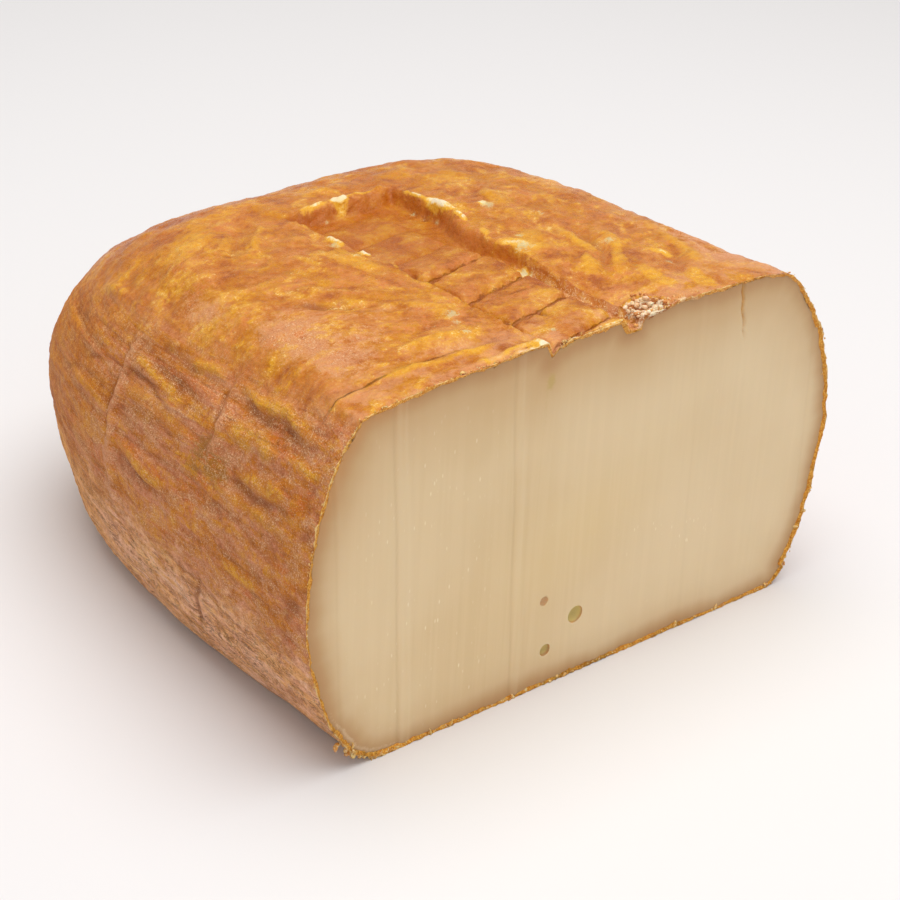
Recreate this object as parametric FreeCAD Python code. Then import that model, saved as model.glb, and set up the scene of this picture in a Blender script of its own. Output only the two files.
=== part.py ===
"""Toma half wheel: the cut half of a pressed, rounded-square cheese, as one solid.

The whole cheese is a skin of formulas: a rounded plan, a belly, a shoulder and a foot,
with the folds of the moulding cloth round its flank. The knife then halves it, the table
flattens its underside, and the pressed mark, the crumbly hollow, the eyes and the crack
are cut into the half.

Frame: +Z up, the cut face looks along -Y, the origin is the middle of the box's underside.
"""
import FreeCAD, Part
import math
import os

Vec = FreeCAD.Vector

# ---- Driving sizes of the cheese, millimetres ----
belly_width = 180.0      # across the two flanks at the belly
cut_depth = 180.0        # from the cut face to the back of the belly
height = 103.0           # from the table to the crown, before the lean
belly_height = 47.0      # height of the widest line of the flank
crown = 3.0              # rise of the top from the shoulder line to the middle
knife_offset = 8.0       # the knife passed this far behind the middle of the whole
foot_sag = 1.0           # how much of the soft foot the table presses flat

# How far the shoulder and the foot draw in from the belly, on each side
shoulder_inset = {"right": 25.0, "left": 15.0, "back": 54.0}
foot_inset = {"right": 29.0, "left": 44.0, "back": 38.0}

# Shape powers: 2 gives an ellipse, more is squarer; rise and turn shape the flank's curve
plan_power = 3.9
crown_power = 5.0
shoulder_rise, shoulder_turn = 0.92, 1.6
foot_rise, foot_turn = 1.65, 0.45

# Lean of the top: share of the height gained for each half width gone
lean_right = 0.018
lean_back = -0.025

# ---- Folds of the cloth round the flank ----
fold_count = 8
fold_first = 16.0        # height of the lowest fold
fold_pitch = 9.5         # from one fold to the next
fold_height = 1.2
fold_half_width = 2.8
fold_sway = 3.0          # how far a fold wanders up and down
fold_share = 0.3         # part of a fold's height that the flank between folds gives up
crease_count = 5         # creases that cross the folds
crease_depth = 1.0
crease_half_width = 2.2

# ---- Pressed mark on the top ----
mark_left = -17.5        # its left wall
mark_width = 30.0
mark_length = 110.0      # from the cut face to its far wall
mark_depth = 4.0
mark_draft = 0.3         # how far a wall leans out for each millimetre it rises
bar_count = 6            # raised bars of the plain twist pattern in its floor
bar_gap = 4.0
bar_margin = 3.0         # from the bars' ends to the walls
bar_slant = 7.0          # how far a bar climbs along its length
bar_drop = 1.6           # the bars' tops lie this far below the skin
ramp_width = 15.0        # slope that runs out of the mark's right wall at the cut
ramp_length = 46.0

# ---- Crumbly hollow beside the mark, open to the cut ----
hollow_width = 15.0
hollow_depth = 4.2
hollow_gap = 3.0         # from the mark's right wall to the hollow
hollow_back = 5.5        # its middle, behind the cut face

# ---- Eyes in the cut face: distance from the middle, height, width, how deep they go ----
eyes = [
    (-2.2, 18.4, 5.2, 4.4),
    (-12.4, 10.8, 3.8, 3.0),
    (-13.8, 26.8, 2.8, 0.8),
]

# ---- Crack that runs down from the shoulder ----
crack_place = 48.0       # from the middle of the cut face
crack_run = 2.0          # how far it wanders sideways on its way down
crack_width = 0.9
crack_length = 17.0
crack_reach = 11.0       # how far it goes in behind the cut face

# ---- Fineness of the skin ----
bearings = 180           # columns of the skin's net round the whole cheese
net_rows = {"top": 10, "shoulder": 32, "foot": 28, "under": 6}
hub_share = 0.03         # the net starts on a small ring round the whole's middle
probe = 0.01             # step used to find the skin's outward direction
box_fineness = 0.05      # how closely the mesh that gives the box follows the skin

# ---- Values that follow from the sizes ----
half_width = belly_width / 2
half_length = cut_depth + knife_offset
mark_right = mark_left + mark_width
beyond = 5 * (half_width + half_length)    # edge of the block that trims the whole


def plan_radius(bearing):
    """Distance of the belly line from the whole's middle."""
    across = abs(math.cos(bearing) / half_width) ** plan_power
    along = abs(math.sin(bearing) / half_length) ** plan_power
    return (across + along) ** (-1 / plan_power)


def inset(sizes, bearing):
    """Blend the insets of the right, left and back sides round the plan."""
    right = max(math.cos(bearing), 0.0) ** 2
    left = max(-math.cos(bearing), 0.0) ** 2
    return sizes["right"] * right + sizes["left"] * left + sizes["back"] * (1 - right - left)


def plain_point(bearing, stage):
    """Body without folds. Stage 0-1 crosses the top, 1-2 the shoulder, 2-3 the foot, 3-4 the underside."""
    belly = plan_radius(bearing)
    shoulder = inset(shoulder_inset, bearing)
    foot = inset(foot_inset, bearing)
    shoulder_level = height - crown
    if stage < 1:
        share = hub_share + (1 - hub_share) * stage
        radius = share * (belly - shoulder)
        level = shoulder_level + crown * (1 - share ** crown_power)
    elif stage < 2:
        turn = math.pi / 2 * (2 - stage)
        radius = belly - shoulder * (1 - max(math.cos(turn), 0.0) ** shoulder_turn)
        level = belly_height + (shoulder_level - belly_height) * max(math.sin(turn), 0.0) ** shoulder_rise
    elif stage < 3:
        turn = math.pi / 2 * (stage - 2)
        radius = belly - foot * (1 - max(math.cos(turn), 0.0) ** foot_turn)
        level = belly_height - (belly_height + foot_sag) * max(math.sin(turn), 0.0) ** foot_rise
    else:
        radius = (1 - (1 - hub_share) * (stage - 3)) * (belly - foot)
        level = -foot_sag
    x = radius * math.cos(bearing)
    y = radius * math.sin(bearing) - knife_offset
    return Vec(x, y, level * (1 + (lean_right * x + lean_back * y) / half_width))


def outward(bearing, stage):
    """Unit direction out of the plain body."""
    round_body = plain_point(bearing + probe, stage) - plain_point(bearing - probe, stage)
    down_body = plain_point(bearing, stage + probe) - plain_point(bearing, stage - probe)
    return down_body.cross(round_body).normalize()


def fold_relief(bearing, stage, level):
    """Height of the cloth folds and creases at one place on the flank."""
    if not 1 < stage < 3:
        return 0.0
    flank = math.sin(math.pi / 2 * (stage - 1)) ** 0.6
    relief = 0.0
    for fold in range(fold_count):
        sway = math.sin(2.3 * bearing + 2.4 * fold) + 0.4 * math.sin(6.1 * bearing + fold)
        line = fold_first + fold * fold_pitch + fold_sway * sway
        fade = 0.55 + 0.45 * math.sin(2.9 * bearing + 1.9 * fold)
        relief += fold_height * fade * (math.exp(-((level - line) / fold_half_width) ** 2) - fold_share)
    for crease in range(crease_count):
        place = math.pi * (crease + 0.5) / crease_count + 0.1 * math.sin(level / 11 + 2 * crease)
        distance = (bearing - place) * plan_radius(bearing)
        relief -= crease_depth * math.exp(-(distance / crease_half_width) ** 2)
    return relief * flank


def net_stages():
    """Stages of the net's rows, from the top's hub ring to the underside's."""
    stages = []
    for part, rows in enumerate(net_rows.values()):
        stages += [part + row / rows for row in range(rows)]
    return stages + [4.0]


def skin_point(bearing, stage):
    point = plain_point(bearing, stage)
    relief = fold_relief(bearing, stage, point.z)
    return point + outward(bearing, stage) * relief if relief else point


def tightened(before, point, after):
    """Pole that makes a cubic skin pass through the point instead of inside it."""
    return (point * 8 - before - after) / 6


def poles_of(net):
    """Poles of the smooth skin over a closed net of columns."""
    count = len(net)
    round_body = [
        [tightened(*trio) for trio in zip(net[turn - 1], net[turn], net[(turn + 1) % count])]
        for turn in range(count)
    ]
    return [
        column[:1] + [tightened(*column[row - 1:row + 2]) for row in range(1, len(column) - 1)] + column[-1:]
        for column in round_body
    ]


def whole_cheese():
    """The uncut cheese: one smooth skin, its seam and hub rings in front of the knife."""
    stages = net_stages()
    columns = [-math.pi / 2 + 2 * math.pi * turn / bearings for turn in range(bearings)]
    poles = poles_of([[skin_point(bearing, stage) for stage in stages] for bearing in columns])
    spans = len(stages) - 3
    surface = Part.BSplineSurface()
    surface.buildFromPolesMultsKnots(
        poles,
        [1] * (bearings + 1),
        [4] + [1] * (spans - 1) + [4],
        list(range(bearings + 1)),
        list(range(spans + 1)),
        True, False, 3, 3,
    )
    band = Part.Face(surface)
    caps = [Part.Face(Part.Wire([edge])) for edge in band.Edges if edge.isClosed()]
    solid = Part.Solid(Part.Shell([band] + caps))
    if solid.Volume < 0:
        solid.reverse()
    return solid


def prism(points, direction):
    """Solid swept along a direction from a closed outline."""
    return Part.Face(Part.makePolygon(points + points[:1])).extrude(direction)


def tapered(lower, upper):
    """Solid with flat sides between two outlines of as many corners."""
    return Part.makeLoft([Part.makePolygon(corners + corners[:1]) for corners in (lower, upper)], True, True)


def half_cheese(whole):
    """Knife and table: keep what lies behind the cut and above the table."""
    return whole.common(Part.makeBox(beyond, beyond, beyond, Vec(-beyond / 2, 0, 0)))


def on_top(x, y, drop):
    """Place at a depth below the leaning top."""
    return Vec(x, y, height * (1 + (lean_right * x + lean_back * y) / half_width) - drop)


def stamp_outline(left, right, near, far, slant, drop):
    """Corners of a slanted field of the stamp at one depth."""
    return [
        on_top(left, near, drop),
        on_top(right, near + slant, drop),
        on_top(right, far + slant, drop),
        on_top(left, far, drop),
    ]


def stamp_block(left, right, near, far, slant, deep, high, draft):
    """Tapered field of the stamp; its stated sides hold at the deep end."""
    grow = draft * (deep - high)
    lower = stamp_outline(left, right, near, far, slant, deep)
    upper = stamp_outline(left - grow, right + grow, near - grow, far + grow, slant, high)
    return tapered(lower, upper)


def mark_cutter():
    """What the stamp pressed away: down to the floor, less the twist bars that it left standing."""
    spread = mark_draft * mark_depth
    left, right, far = mark_left + spread, mark_right - spread, mark_length - spread
    cutter = stamp_block(left, right, -spread, far, 0, mark_depth, -mark_depth, mark_draft)
    pitch = (far - bar_slant) / bar_count
    for bar in range(bar_count):
        near = (bar + 0.5) * pitch - (pitch - bar_gap) / 2
        cutter = cutter.cut(stamp_block(
            left + bar_margin, right - bar_margin, near, near + pitch - bar_gap, bar_slant,
            mark_depth + 1, bar_drop, -mark_draft,
        ))
    return cutter


def ramp_cutter():
    """Slope beside the mark at the cut: deep at the wall, running out sideways and backwards."""
    def outline(y, drop):
        wall, end = mark_right - 1, mark_right + ramp_width
        reach = [(wall, drop), (end, drop - mark_depth), (wall, drop - 2 * mark_depth)]
        return [on_top(across, y, lowered) for across, lowered in reach]
    return tapered(outline(-1, mark_depth), outline(ramp_length, 0))


def cap_cutter(centre, direction, width, depth):
    """Ball whose cap, seen along the direction, has the given width and depth."""
    radius = (width ** 2 / 4 + depth ** 2) / (2 * depth)
    return Part.makeSphere(radius, centre + direction * (depth - radius))


def crack_cutter():
    """Thin wedge that opens upwards through the shoulder."""
    upper, lower = height, height - crown - crack_length
    outline = [
        Vec(crack_place - crack_width / 2, -1, upper),
        Vec(crack_place + crack_width / 2, -1, upper),
        Vec(crack_place + crack_run, -1, lower),
    ]
    return prism(outline, Vec(0, crack_reach + 1, 0))


def centred(half):
    """Put the middle of the box's underside at the origin; the skin's box is read off a fine mesh."""
    points = half.tessellate(box_fineness)[0]
    across = [point.x for point in points]
    along = [point.y for point in points]
    half.translate(Vec(-(min(across) + max(across)) / 2, -(min(along) + max(along)) / 2, 0))
    return half


def toma_half():
    half = half_cheese(whole_cheese())
    cutters = [mark_cutter(), ramp_cutter(), crack_cutter()]
    hollow_middle = Vec(mark_right + hollow_gap + hollow_width / 2, hollow_back, height - crown / 2)
    cutters.append(cap_cutter(hollow_middle, Vec(0, 0, -1), hollow_width, hollow_depth))
    for place, level, width, depth in eyes:
        cutters.append(cap_cutter(Vec(place, 0, level), Vec(0, 1, 0), width, depth))
    for cutter in cutters:
        half = half.cut(cutter)
    return centred(half)


os.makedirs("parts", exist_ok=True)
cheese = toma_half()
cheese.exportStep("parts/toma_half.step")
corners = [(corner.x, corner.y, corner.z) for corner in cheese.tessellate(box_fineness)[0]]
spans = [(min(values), max(values)) for values in zip(*corners)]
print("toma_half: valid", cheese.isValid(), "solids", len(cheese.Solids), "faces", len(cheese.Faces))
print("volume %.0f mm3" % cheese.Volume, "box", ["%.2f to %.2f" % span for span in spans])
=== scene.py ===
"""Toma half wheel: the looks.

The rind is a closed shell round a closed body of paste. Both are modelled over the same
plain body as the solid, then folded, stamped and wrinkled, and the cut rim, the crumbly
hollow and the loose flakes are added. Lengths are millimetres until mesh_from() places them.
"""
import math

import bmesh
import bpy
import numpy as np
from mathutils import Matrix, Vector
from mathutils.kdtree import KDTree


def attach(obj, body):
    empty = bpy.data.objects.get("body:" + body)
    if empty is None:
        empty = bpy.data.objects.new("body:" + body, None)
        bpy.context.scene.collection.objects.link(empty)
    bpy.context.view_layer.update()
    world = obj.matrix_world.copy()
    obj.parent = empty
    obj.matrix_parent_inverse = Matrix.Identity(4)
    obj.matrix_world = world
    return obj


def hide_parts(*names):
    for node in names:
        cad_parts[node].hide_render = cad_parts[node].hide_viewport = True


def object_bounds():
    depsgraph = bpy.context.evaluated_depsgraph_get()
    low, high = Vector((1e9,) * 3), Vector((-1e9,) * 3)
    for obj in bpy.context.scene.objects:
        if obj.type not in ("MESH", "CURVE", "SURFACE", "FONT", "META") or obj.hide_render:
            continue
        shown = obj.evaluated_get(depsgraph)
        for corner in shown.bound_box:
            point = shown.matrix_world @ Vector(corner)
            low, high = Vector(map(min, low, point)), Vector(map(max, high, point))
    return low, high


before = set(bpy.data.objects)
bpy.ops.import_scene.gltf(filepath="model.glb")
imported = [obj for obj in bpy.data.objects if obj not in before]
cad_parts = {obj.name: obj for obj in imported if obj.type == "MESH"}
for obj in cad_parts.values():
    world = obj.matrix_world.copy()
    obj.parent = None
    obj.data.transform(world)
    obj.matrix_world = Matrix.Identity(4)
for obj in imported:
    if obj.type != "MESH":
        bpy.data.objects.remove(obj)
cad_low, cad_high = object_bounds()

MM = 0.001

# ---- Body: box sizes from the frame, shape values of the moulded cheese ----
WIDTH, DEPTH, HEIGHT = ((cad_high[axis] - cad_low[axis]) / MM for axis in range(3))
CUT_Y = cad_low.y / MM
MIDDLE_X = (cad_low.x + cad_high.x) / 2 / MM
CROWN = 3.0
BELLY_HEIGHT = 47.0
KNIFE_OFFSET = 8.0
FOOT_SAG = 1.0
SHOULDER_INSET = {"right": 25.0, "left": 15.0, "back": 54.0}
FOOT_INSET = {"right": 29.0, "left": 44.0, "back": 38.0}
PLAN_POWER, CROWN_POWER = 3.9, 5.0
SHOULDER_RISE, SHOULDER_TURN = 0.92, 1.6
FOOT_RISE, FOOT_TURN = 1.65, 0.45
LEAN_RIGHT, LEAN_BACK = 0.018, -0.025
HALF_WIDTH = WIDTH / 2
HALF_LENGTH = DEPTH + KNIFE_OFFSET
LEAN_RISE = 0.5              # the lean lifts the box's top by about this much
SHOULDER_LEVEL = HEIGHT - CROWN - LEAN_RISE

# ---- Net of the skin ----
NET = (184, 176, 96)         # spans across, along and up the body
UNDER_BLOCK = 8              # the underside merges this many spans each way
SPINE_END = 0.52 * DEPTH     # the skin is cast outwards from a spine that ends here
SPINE_LEVEL = 0.48 * HEIGHT
HIDDEN_DEPTH = 7.0           # the rind's hidden inner skin lies this far under the plain body
FRONT_GAP = 0.7              # the paste's cut face lies this far inside the box
HALVINGS = 44                # steps that close in on the body's surface along a ray
SKIN_CLEAR = 0.1             # the skin stays this far inside the box
SPARE = 0.9                  # relief near the box's sides is eased within this margin

# ---- Rind ----
RIND = 1.25                  # width of the rind round the cut
HIDDEN_ROWS = (2.0, 3.0, 10.0, 30.0, 60.0, SPINE_END)   # rings of the inner skin, behind the cut
HIDDEN_TILTS = (18, 36, 54, 72)                         # and round its back, in degrees
# Rows of the band at the cut: share of the rind's width, how far ahead, and strength of the rim mask
RIM_ROWS = ((0.22, -0.42, 0.7), (0.5, -0.2, 0.85), (0.8, -0.05, 0.95), (1.0, 0.25, 1.0))
GATHER = (2.0, 12.0)         # the cloth's pleats over the top run towards this place
GIRTH = 95.0                 # reach that turns a bearing round the flank into a length
SPOKE_REACH = 60.0           # and the same for the chance strokes and the pleats over the top
PLEAT_REACH = 34.0
SEEDS = dict(rim=11, flakes=5, curds=8, flank=3, top=7)
TONES = ("ochre", "rust", "blush", "pale", "olive", "mould")
FLANK_SPREAD = 1.15          # the flank's strokes are this much broader
RIDGE, TROUGH = 0.9, 0.6     # shares of the heights and depths that the tables of strokes name
TOP_LIFT = 1.6               # the top's strokes stand out this much more
FOLDS = dict(count=8, first=16.0, pitch=9.5, height=0.9, half_width=2.8, sway=3.0, share=0.3)

# Marks of the cloth on the left flank: from (along, up) to (along, up), half width, rise, tone, strength
FLANK_STROKES = [
    ((8, 91), (47, 88), 1.3, 1.2, "ochre", 1.1), ((12, 87.6), (47, 85.8), 1.7, -1.3, "rust", 0.9),
    ((2, 84.4), (22, 83.6), 1.6, 0.6, "ochre", 0.8), ((20, 83), (48, 81), 1.9, 0.8, "ochre", 0.8),
    ((53, 88.4), (71, 84.8), 1.3, 1.1, "ochre", 1.1), ((54, 85.3), (90, 83.2), 1.6, -1.0, "rust", 0.8),
    ((70, 86.6), (99, 85.6), 1.6, 0.6, "rust", 0.3), ((78, 90), (108, 89), 2.0, 1.0, "ochre", 1.0),
    ((55, 79.2), (92, 80), 1.6, -0.8, "rust", 0.9), ((60, 77), (98, 77.5), 1.2, 0.6, "ochre", 0.8),
    ((62, 74.9), (96, 76), 1.0, 0.7, "blush", 0.6), ((70, 73.4), (97, 74.4), 0.9, -0.8, "rust", 0.8),
    ((55, 71.5), (94, 70.5), 2.2, 0.6, "ochre", 0.7), ((10, 75.6), (34, 73), 2.2, 0.9, "ochre", 0.9),
    ((8, 72), (41, 69.4), 1.6, -0.9, "rust", 0.75), ((17, 68), (40, 64.4), 2.2, 0.7, "ochre", 0.8),
    ((30, 62), (48, 60.4), 1.2, -0.7, "rust", 0.5), ((38, 72), (58, 65), 4.0, 0.0, "olive", 0.75),
    ((48, 78), (55, 69), 3.0, 0.0, "olive", 0.6), ((62, 68), (90, 67.4), 1.2, -0.6, "rust", 0.5),
    ((60, 55), (90, 55), 2.0, 0.8, "ochre", 0.8), ((66, 51.5), (92, 52), 1.0, -0.9, "rust", 0.9),
    ((57, 50), (65, 45), 2.0, 0.5, "ochre", 0.6), ((18, 51.2), (40, 50.6), 1.0, -0.7, "rust", 0.8),
    ((20, 47.6), (37, 47.2), 2.2, 1.1, "ochre", 1.1), ((16, 44.8), (38, 44.6), 1.0, -0.8, "rust", 0.7),
    ((4, 41), (15, 38), 1.6, -0.4, "rust", 0.5), ((0, 36), (48, 35), 1.5, 0.6, "ochre", 0.45),
    ((49.5, 39), (56, 13), 0.9, -1.0, "rust", 0.9), ((96, 89), (94, 36), 1.8, 1.4, "blush", 1.2),
    ((99.6, 87), (97.8, 50), 1.2, -1.4, "rust", 0.8), ((48.5, 93), (46.5, 66), 1.7, 1.6, "blush", 1.4),
    ((51.5, 92), (50.5, 74), 1.2, -1.3, "rust", 0.8), ((6, 91), (7, 70), 1.7, -1.0, "rust", 0.45),
    ((4, 53), (8, 44), 2.6, -0.7, "rust", 0.7), ((112, 86), (128, 83), 2.0, 1.1, "pale", 0.6),
    ((104, 72), (129, 69), 1.6, -0.7, "rust", 0.6), ((100, 82), (121, 80), 1.7, 0.7, "ochre", 0.7),
    ((114, 64.5), (136, 60), 1.6, -0.6, "rust", 0.55), ((120, 75), (141, 71), 1.8, -0.7, "rust", 0.6),
    ((100, 61), (122, 61.5), 1.6, 0.6, "ochre", 0.45), ((10, 27.5), (50, 24), 1.1, -0.5, "rust", 0.25),
    ((60, 30), (104, 27), 1.3, -0.5, "rust", 0.25), ((20, 58), (52, 55.5), 1.5, -0.5, "rust", 0.3),
    ((10, 79.5), (44, 78), 1.2, -0.5, "rust", 0.35), ((60, 61), (94, 62.5), 1.4, -0.5, "rust", 0.35),
    ((60, 44), (98, 43), 1.3, -0.5, "rust", 0.35), ((62, 38), (100, 36), 1.4, 0.5, "ochre", 0.3),
]
# The same on the top: from (across, along) to (across, along)
TOP_STROKES = [
    ((-56, 61), (-39, 45), 1.7, -1.0, "rust", 0.7), ((-40, 45), (-27, 33), 2.0, -0.8, "blush", 0.7),
    ((-50, 66), (-31, 47), 2.0, 0.7, "ochre", 0.3), ((-34, 43), (-24, 31), 1.4, 0.5, "ochre", 0.5),
    ((-50, 96), (-33, 112), 2.0, -0.9, "rust", 0.5), ((-45, 93), (-29, 107), 1.7, 0.6, "ochre", 0.5),
    ((-60, 108), (-38, 118), 6.0, 0.0, "ochre", 0.75), ((-50, 102), (-38, 108), 4.0, 0.0, "ochre", 0.5),
    ((-30, 84), (-24, 58), 3.0, 0.3, "ochre", 0.5), ((-62, 16), (-57, 60), 8.5, 0.0, "blush", 1.1),
    ((-52, 28), (-46, 40), 5.5, 0.0, "blush", 0.8), ((-66, 66), (-66, 92), 4.5, 0.0, "blush", 0.7),
    ((-64, 12), (-22, 8), 1.7, 0.6, "ochre", 0.7), ((-60, 17), (-24, 13), 1.7, -0.6, "blush", 0.6),
    ((-50, 22.5), (-26, 18), 1.6, 0.6, "ochre", 0.6), ((-56, 29), (-30, 24), 1.5, -0.5, "rust", 0.3),
    ((-44, 4), (-12, 3), 1.6, 0.4, "pale", 0.5), ((32, 55), (26, 37), 1.9, 0.7, "ochre", 1.1),
    ((24, 38), (20.5, 26), 2.0, 0.5, "ochre", 0.7), ((39, 56), (22.5, 21), 2.0, -1.0, "rust", 0.5),
    ((42, 48), (26.5, 22), 1.8, 0.6, "ochre", 0.9), ((37, 36), (29, 18), 2.8, 0.0, "olive", 0.45),
    ((41.5, 29), (43, 22), 1.6, 0.4, "pale", 0.8), ((32, 21), (29.5, 8), 2.4, 0.4, "ochre", 1.2),
    ((47, 28), (34.5, 7), 3.2, -0.7, "rust", 0.45), ((43, 15), (37, 2), 2.4, 0.4, "ochre", 1.2),
    ((38, 92), (24, 62), 3.0, 0.5, "ochre", 0.4), ((15, 46), (24, 60), 4.0, 0.3, "ochre", 0.7),
    ((15, 46), (15.6, 10), 2.6, 0.0, "rust", 0.35), ((-12, 84), (2, 92), 2.4, 0.3, "ochre", 0.9),
    ((-6, 76), (4, 78), 1.4, 0.2, "ochre", 0.8),
    ((13, 120), (32, 118), 4.5, 0.2, "rust", 0.25), ((24, 104), (40, 110), 4.0, 0.2, "ochre", 0.35),
    ((-20, 124), (24, 126), 2.6, -0.5, "rust", 0.25), ((56, 10), (66, 44), 8.0, 0.0, "blush", 1.0),
    ((70, 6), (77, 60), 9.0, 0.0, "blush", 1.2), ((46, 14), (60, 52), 3.0, 0.5, "ochre", 0.5),
    ((-70, 98), (-67, 130), 2.2, 0.8, "pale", 0.35), ((-12, 48), (-4, 52), 2.0, 0.3, "ochre", 0.4),
]

# ---- Stamped field on the top ----
MARK = dict(left=-18.0, left_lean=-0.03, right=13.4, right_lean=-0.026, length=108.0, depth=4.3,
            wall=1.4, flare=4.6)
BARS = dict(count=6, gap=0.7, left=0.8, right=5.2, end=3, slant=7.0, near_drop=0.9, far_drop=3.3, round=1.5)
BAR_PITCH = (MARK["length"] - BARS["slant"] - BARS["end"]) / BARS["count"]
RAMP = dict(width=15.5, length=48.0)
HOLLOW = dict(x=17.2, y=3.6, across=5.0, along=6.2, depth=4.4)
# Small pits: across, along, half width, half length, depth
PITS = [(-17.3, 55.9, 1.3, 2.0, 2.6), (-16.1, 18.8, 1.0, 1.6, 2.2), (-6.5, 16.7, 1.0, 1.6, 2.2),
        (-3, 30, 4, 0.7, 0.6), (-61, 43, 1.0, 1.0, 0.8), (-48, 96, 1.4, 0.9, 0.9), (-26, 12, 1.0, 0.8, 0.6),
        (14.5, 91, 1.6, 1.2, 1.0)]
# Pale ragged lips round the field: from (across, along) to (across, along), half width, rise, strength
LIPS = [
    ((-21, 103), (-14, 108), 1.2, 0.8, 0.45), ((-17, 108.5), (-6, 109.8), 1.2, 0.9, 0.8),
    ((-5, 109.6), (1, 110), 1.7, 1.0, 1.3), ((2, 110), (13, 110.5), 1.0, 0.9, 0.5),
    ((16.4, 104), (16.6, 94), 1.4, 0.9, 0.8), ((16.8, 94), (17.2, 82), 2.3, 1.1, 1.4),
    ((16.5, 81), (14.5, 74), 1.2, 0.8, 0.8), ((26, 81), (28, 80), 2.2, 0.5, 0.8),
    ((15.5, 67), (12.6, 61), 1.5, 1.1, 0.8), ((13.6, 57), (18, 49), 2.8, 0.6, 0.8),
    ((8.8, 46), (12, 44), 2.2, 1.1, 1.6), ((-22.5, 90), (-23, 80), 1.8, 1.0, 0.9),
    ((-23, 73), (-21, 69), 1.8, 0.9, 1.3), ((-20, 64), (-19.5, 58), 1.6, 0.7, 0.6),
    ((-19.5, 50), (-18.5, 8), 0.9, 0.6, 0.35), ((-30, 1.2), (-20, 1.0), 1.4, 0.3, 0.9),
    ((-21.5, 1.0), (-18.4, 1.4), 1.7, 0.5, 1.7), ((-14, 0.8), (12, 1), 1.0, 0.2, 0.55),
]
# Spots of grey-white mould: across, along, radius
MOULD_SPOTS = [
    (-23.6, 82, 2.4), (-23, 71, 2.0), (27, 79, 3.0), (15, 86, 2.6), (-26, 28.5, 2.6), (-28.5, 23.5, 1.8),
    (-34, 25, 1.6), (-29.5, 18, 1.2), (-26, 11.5, 1.4), (41, 21, 2.4), (37, 40, 2.2), (35, 66, 1.8),
    (-53, 85, 1.1), (15, 50, 3.4), (9.5, 44, 3.0), (19, 56, 2.2), (-11, 7, 1.4),
    (14, 96, 2.2), (-9, 106, 1.6),
]

# ---- Cut face ----
EDGE_REACH = 30.0            # the paste darkens towards the rind within this distance
# Eyes: across, up, width, depth
EYES = [(-1.6, 18.6, 5.2, 2.5), (-11.7, 11.2, 3.6, 1.7), (-13.2, 27.0, 2.8, 0.3)]
CRACK = dict(x=48.5, run=3.4, half_width=0.45, length=18.0, depth=1.0)
CRACK_TOP = HEIGHT - 4
FACE_OVERLAP = 0.35          # the cut face reaches this far under the rind
SIDE_OVERLAP = 0.3           # and the hidden sides of the paste this far
RIM_FINENESS = 4             # places for bits, for each span of the rim
BIT_SEGMENTS, BIT_RINGS = 8, 4
EYE_SEGMENTS, EYE_RINGS = 40, 24
SHARP_EDGE = math.radians(50)
CUT_FINENESS = 2             # spans of the cut face for each span of the skin
# Lines that the knife left: place across, depth; a ridge where the depth is negative
KNIFE_LINES = [
    (-80.0, 0.10), (-62.0, 0.22), (-58.5, -0.10), (-25.6, 0.18), (-23.0, -0.08), (36.0, 0.05), (80.0, 0.07),
]

# ---- Studio ----
FLOOR_SIZE = 6.0
SKY_STRENGTH = 0.52
# Lamps: place, what they face, width, power
LAMPS = {
    "overhead": ((0.03, -0.1, 1.1), (0, 0, 0.05), 1.2, 11),
    "front_fill": ((-0.5, -1.2, 0.7), (0, 0, 0.05), 0.9, 1.5),
}
AZIMUTH, ELEVATION, ROLL = -39.7, 28.9, 2.85
DISTANCE = 551.3
LENS, SENSOR = 84.0, 36.0
AIM = (-18.1, 36.0, 57.1)    # from the middle of the cut face's foot


# ------------------------------------------------------------------ plain body

def side_mix(sizes, bearing):
    """The size at a bearing, mixed from those of the right, the left and the back."""
    right = np.clip(np.cos(bearing), 0, None) ** 2
    left = np.clip(-np.cos(bearing), 0, None) ** 2
    return sizes["right"] * right + sizes["left"] * left + sizes["back"] * (1 - right - left)


def belly_reach(bearing):
    """Reach of the body's widest outline from the knife's middle, each way round."""
    across_share = np.abs(np.cos(bearing) / HALF_WIDTH) ** PLAN_POWER
    along_share = np.abs(np.sin(bearing) / HALF_LENGTH) ** PLAN_POWER
    return (across_share + along_share) ** (-1 / PLAN_POWER)


def proud(points):
    """How far points reach beyond the plain body, measured level with them; negative inside."""
    x, y, z = points.T
    level = z / (1 + (LEAN_RIGHT * x + LEAN_BACK * y) / HALF_WIDTH)
    along = y + KNIFE_OFFSET
    bearing = np.arctan2(along, x)
    belly = belly_reach(bearing)
    shoulder, foot = side_mix(SHOULDER_INSET, bearing), side_mix(FOOT_INSET, bearing)
    up = np.clip((level - BELLY_HEIGHT) / (SHOULDER_LEVEL - BELLY_HEIGHT), 0, 1) ** (1 / SHOULDER_RISE)
    down = np.clip((BELLY_HEIGHT - level) / (BELLY_HEIGHT + FOOT_SAG), 0, 1) ** (1 / FOOT_RISE)
    upper = belly - shoulder * (1 - np.sqrt(1 - up ** 2) ** SHOULDER_TURN)
    lower = belly - foot * (1 - np.sqrt(1 - down ** 2) ** FOOT_TURN)
    dome = np.clip(1 - (level - SHOULDER_LEVEL) / CROWN, 0, 1) ** (1 / CROWN_POWER) * (belly - shoulder)
    limit = np.where(level > SHOULDER_LEVEL, dome, np.where(level > BELLY_HEIGHT, upper, lower))
    return np.where(z < 0, 1.0, np.hypot(x, along) - limit)


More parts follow.
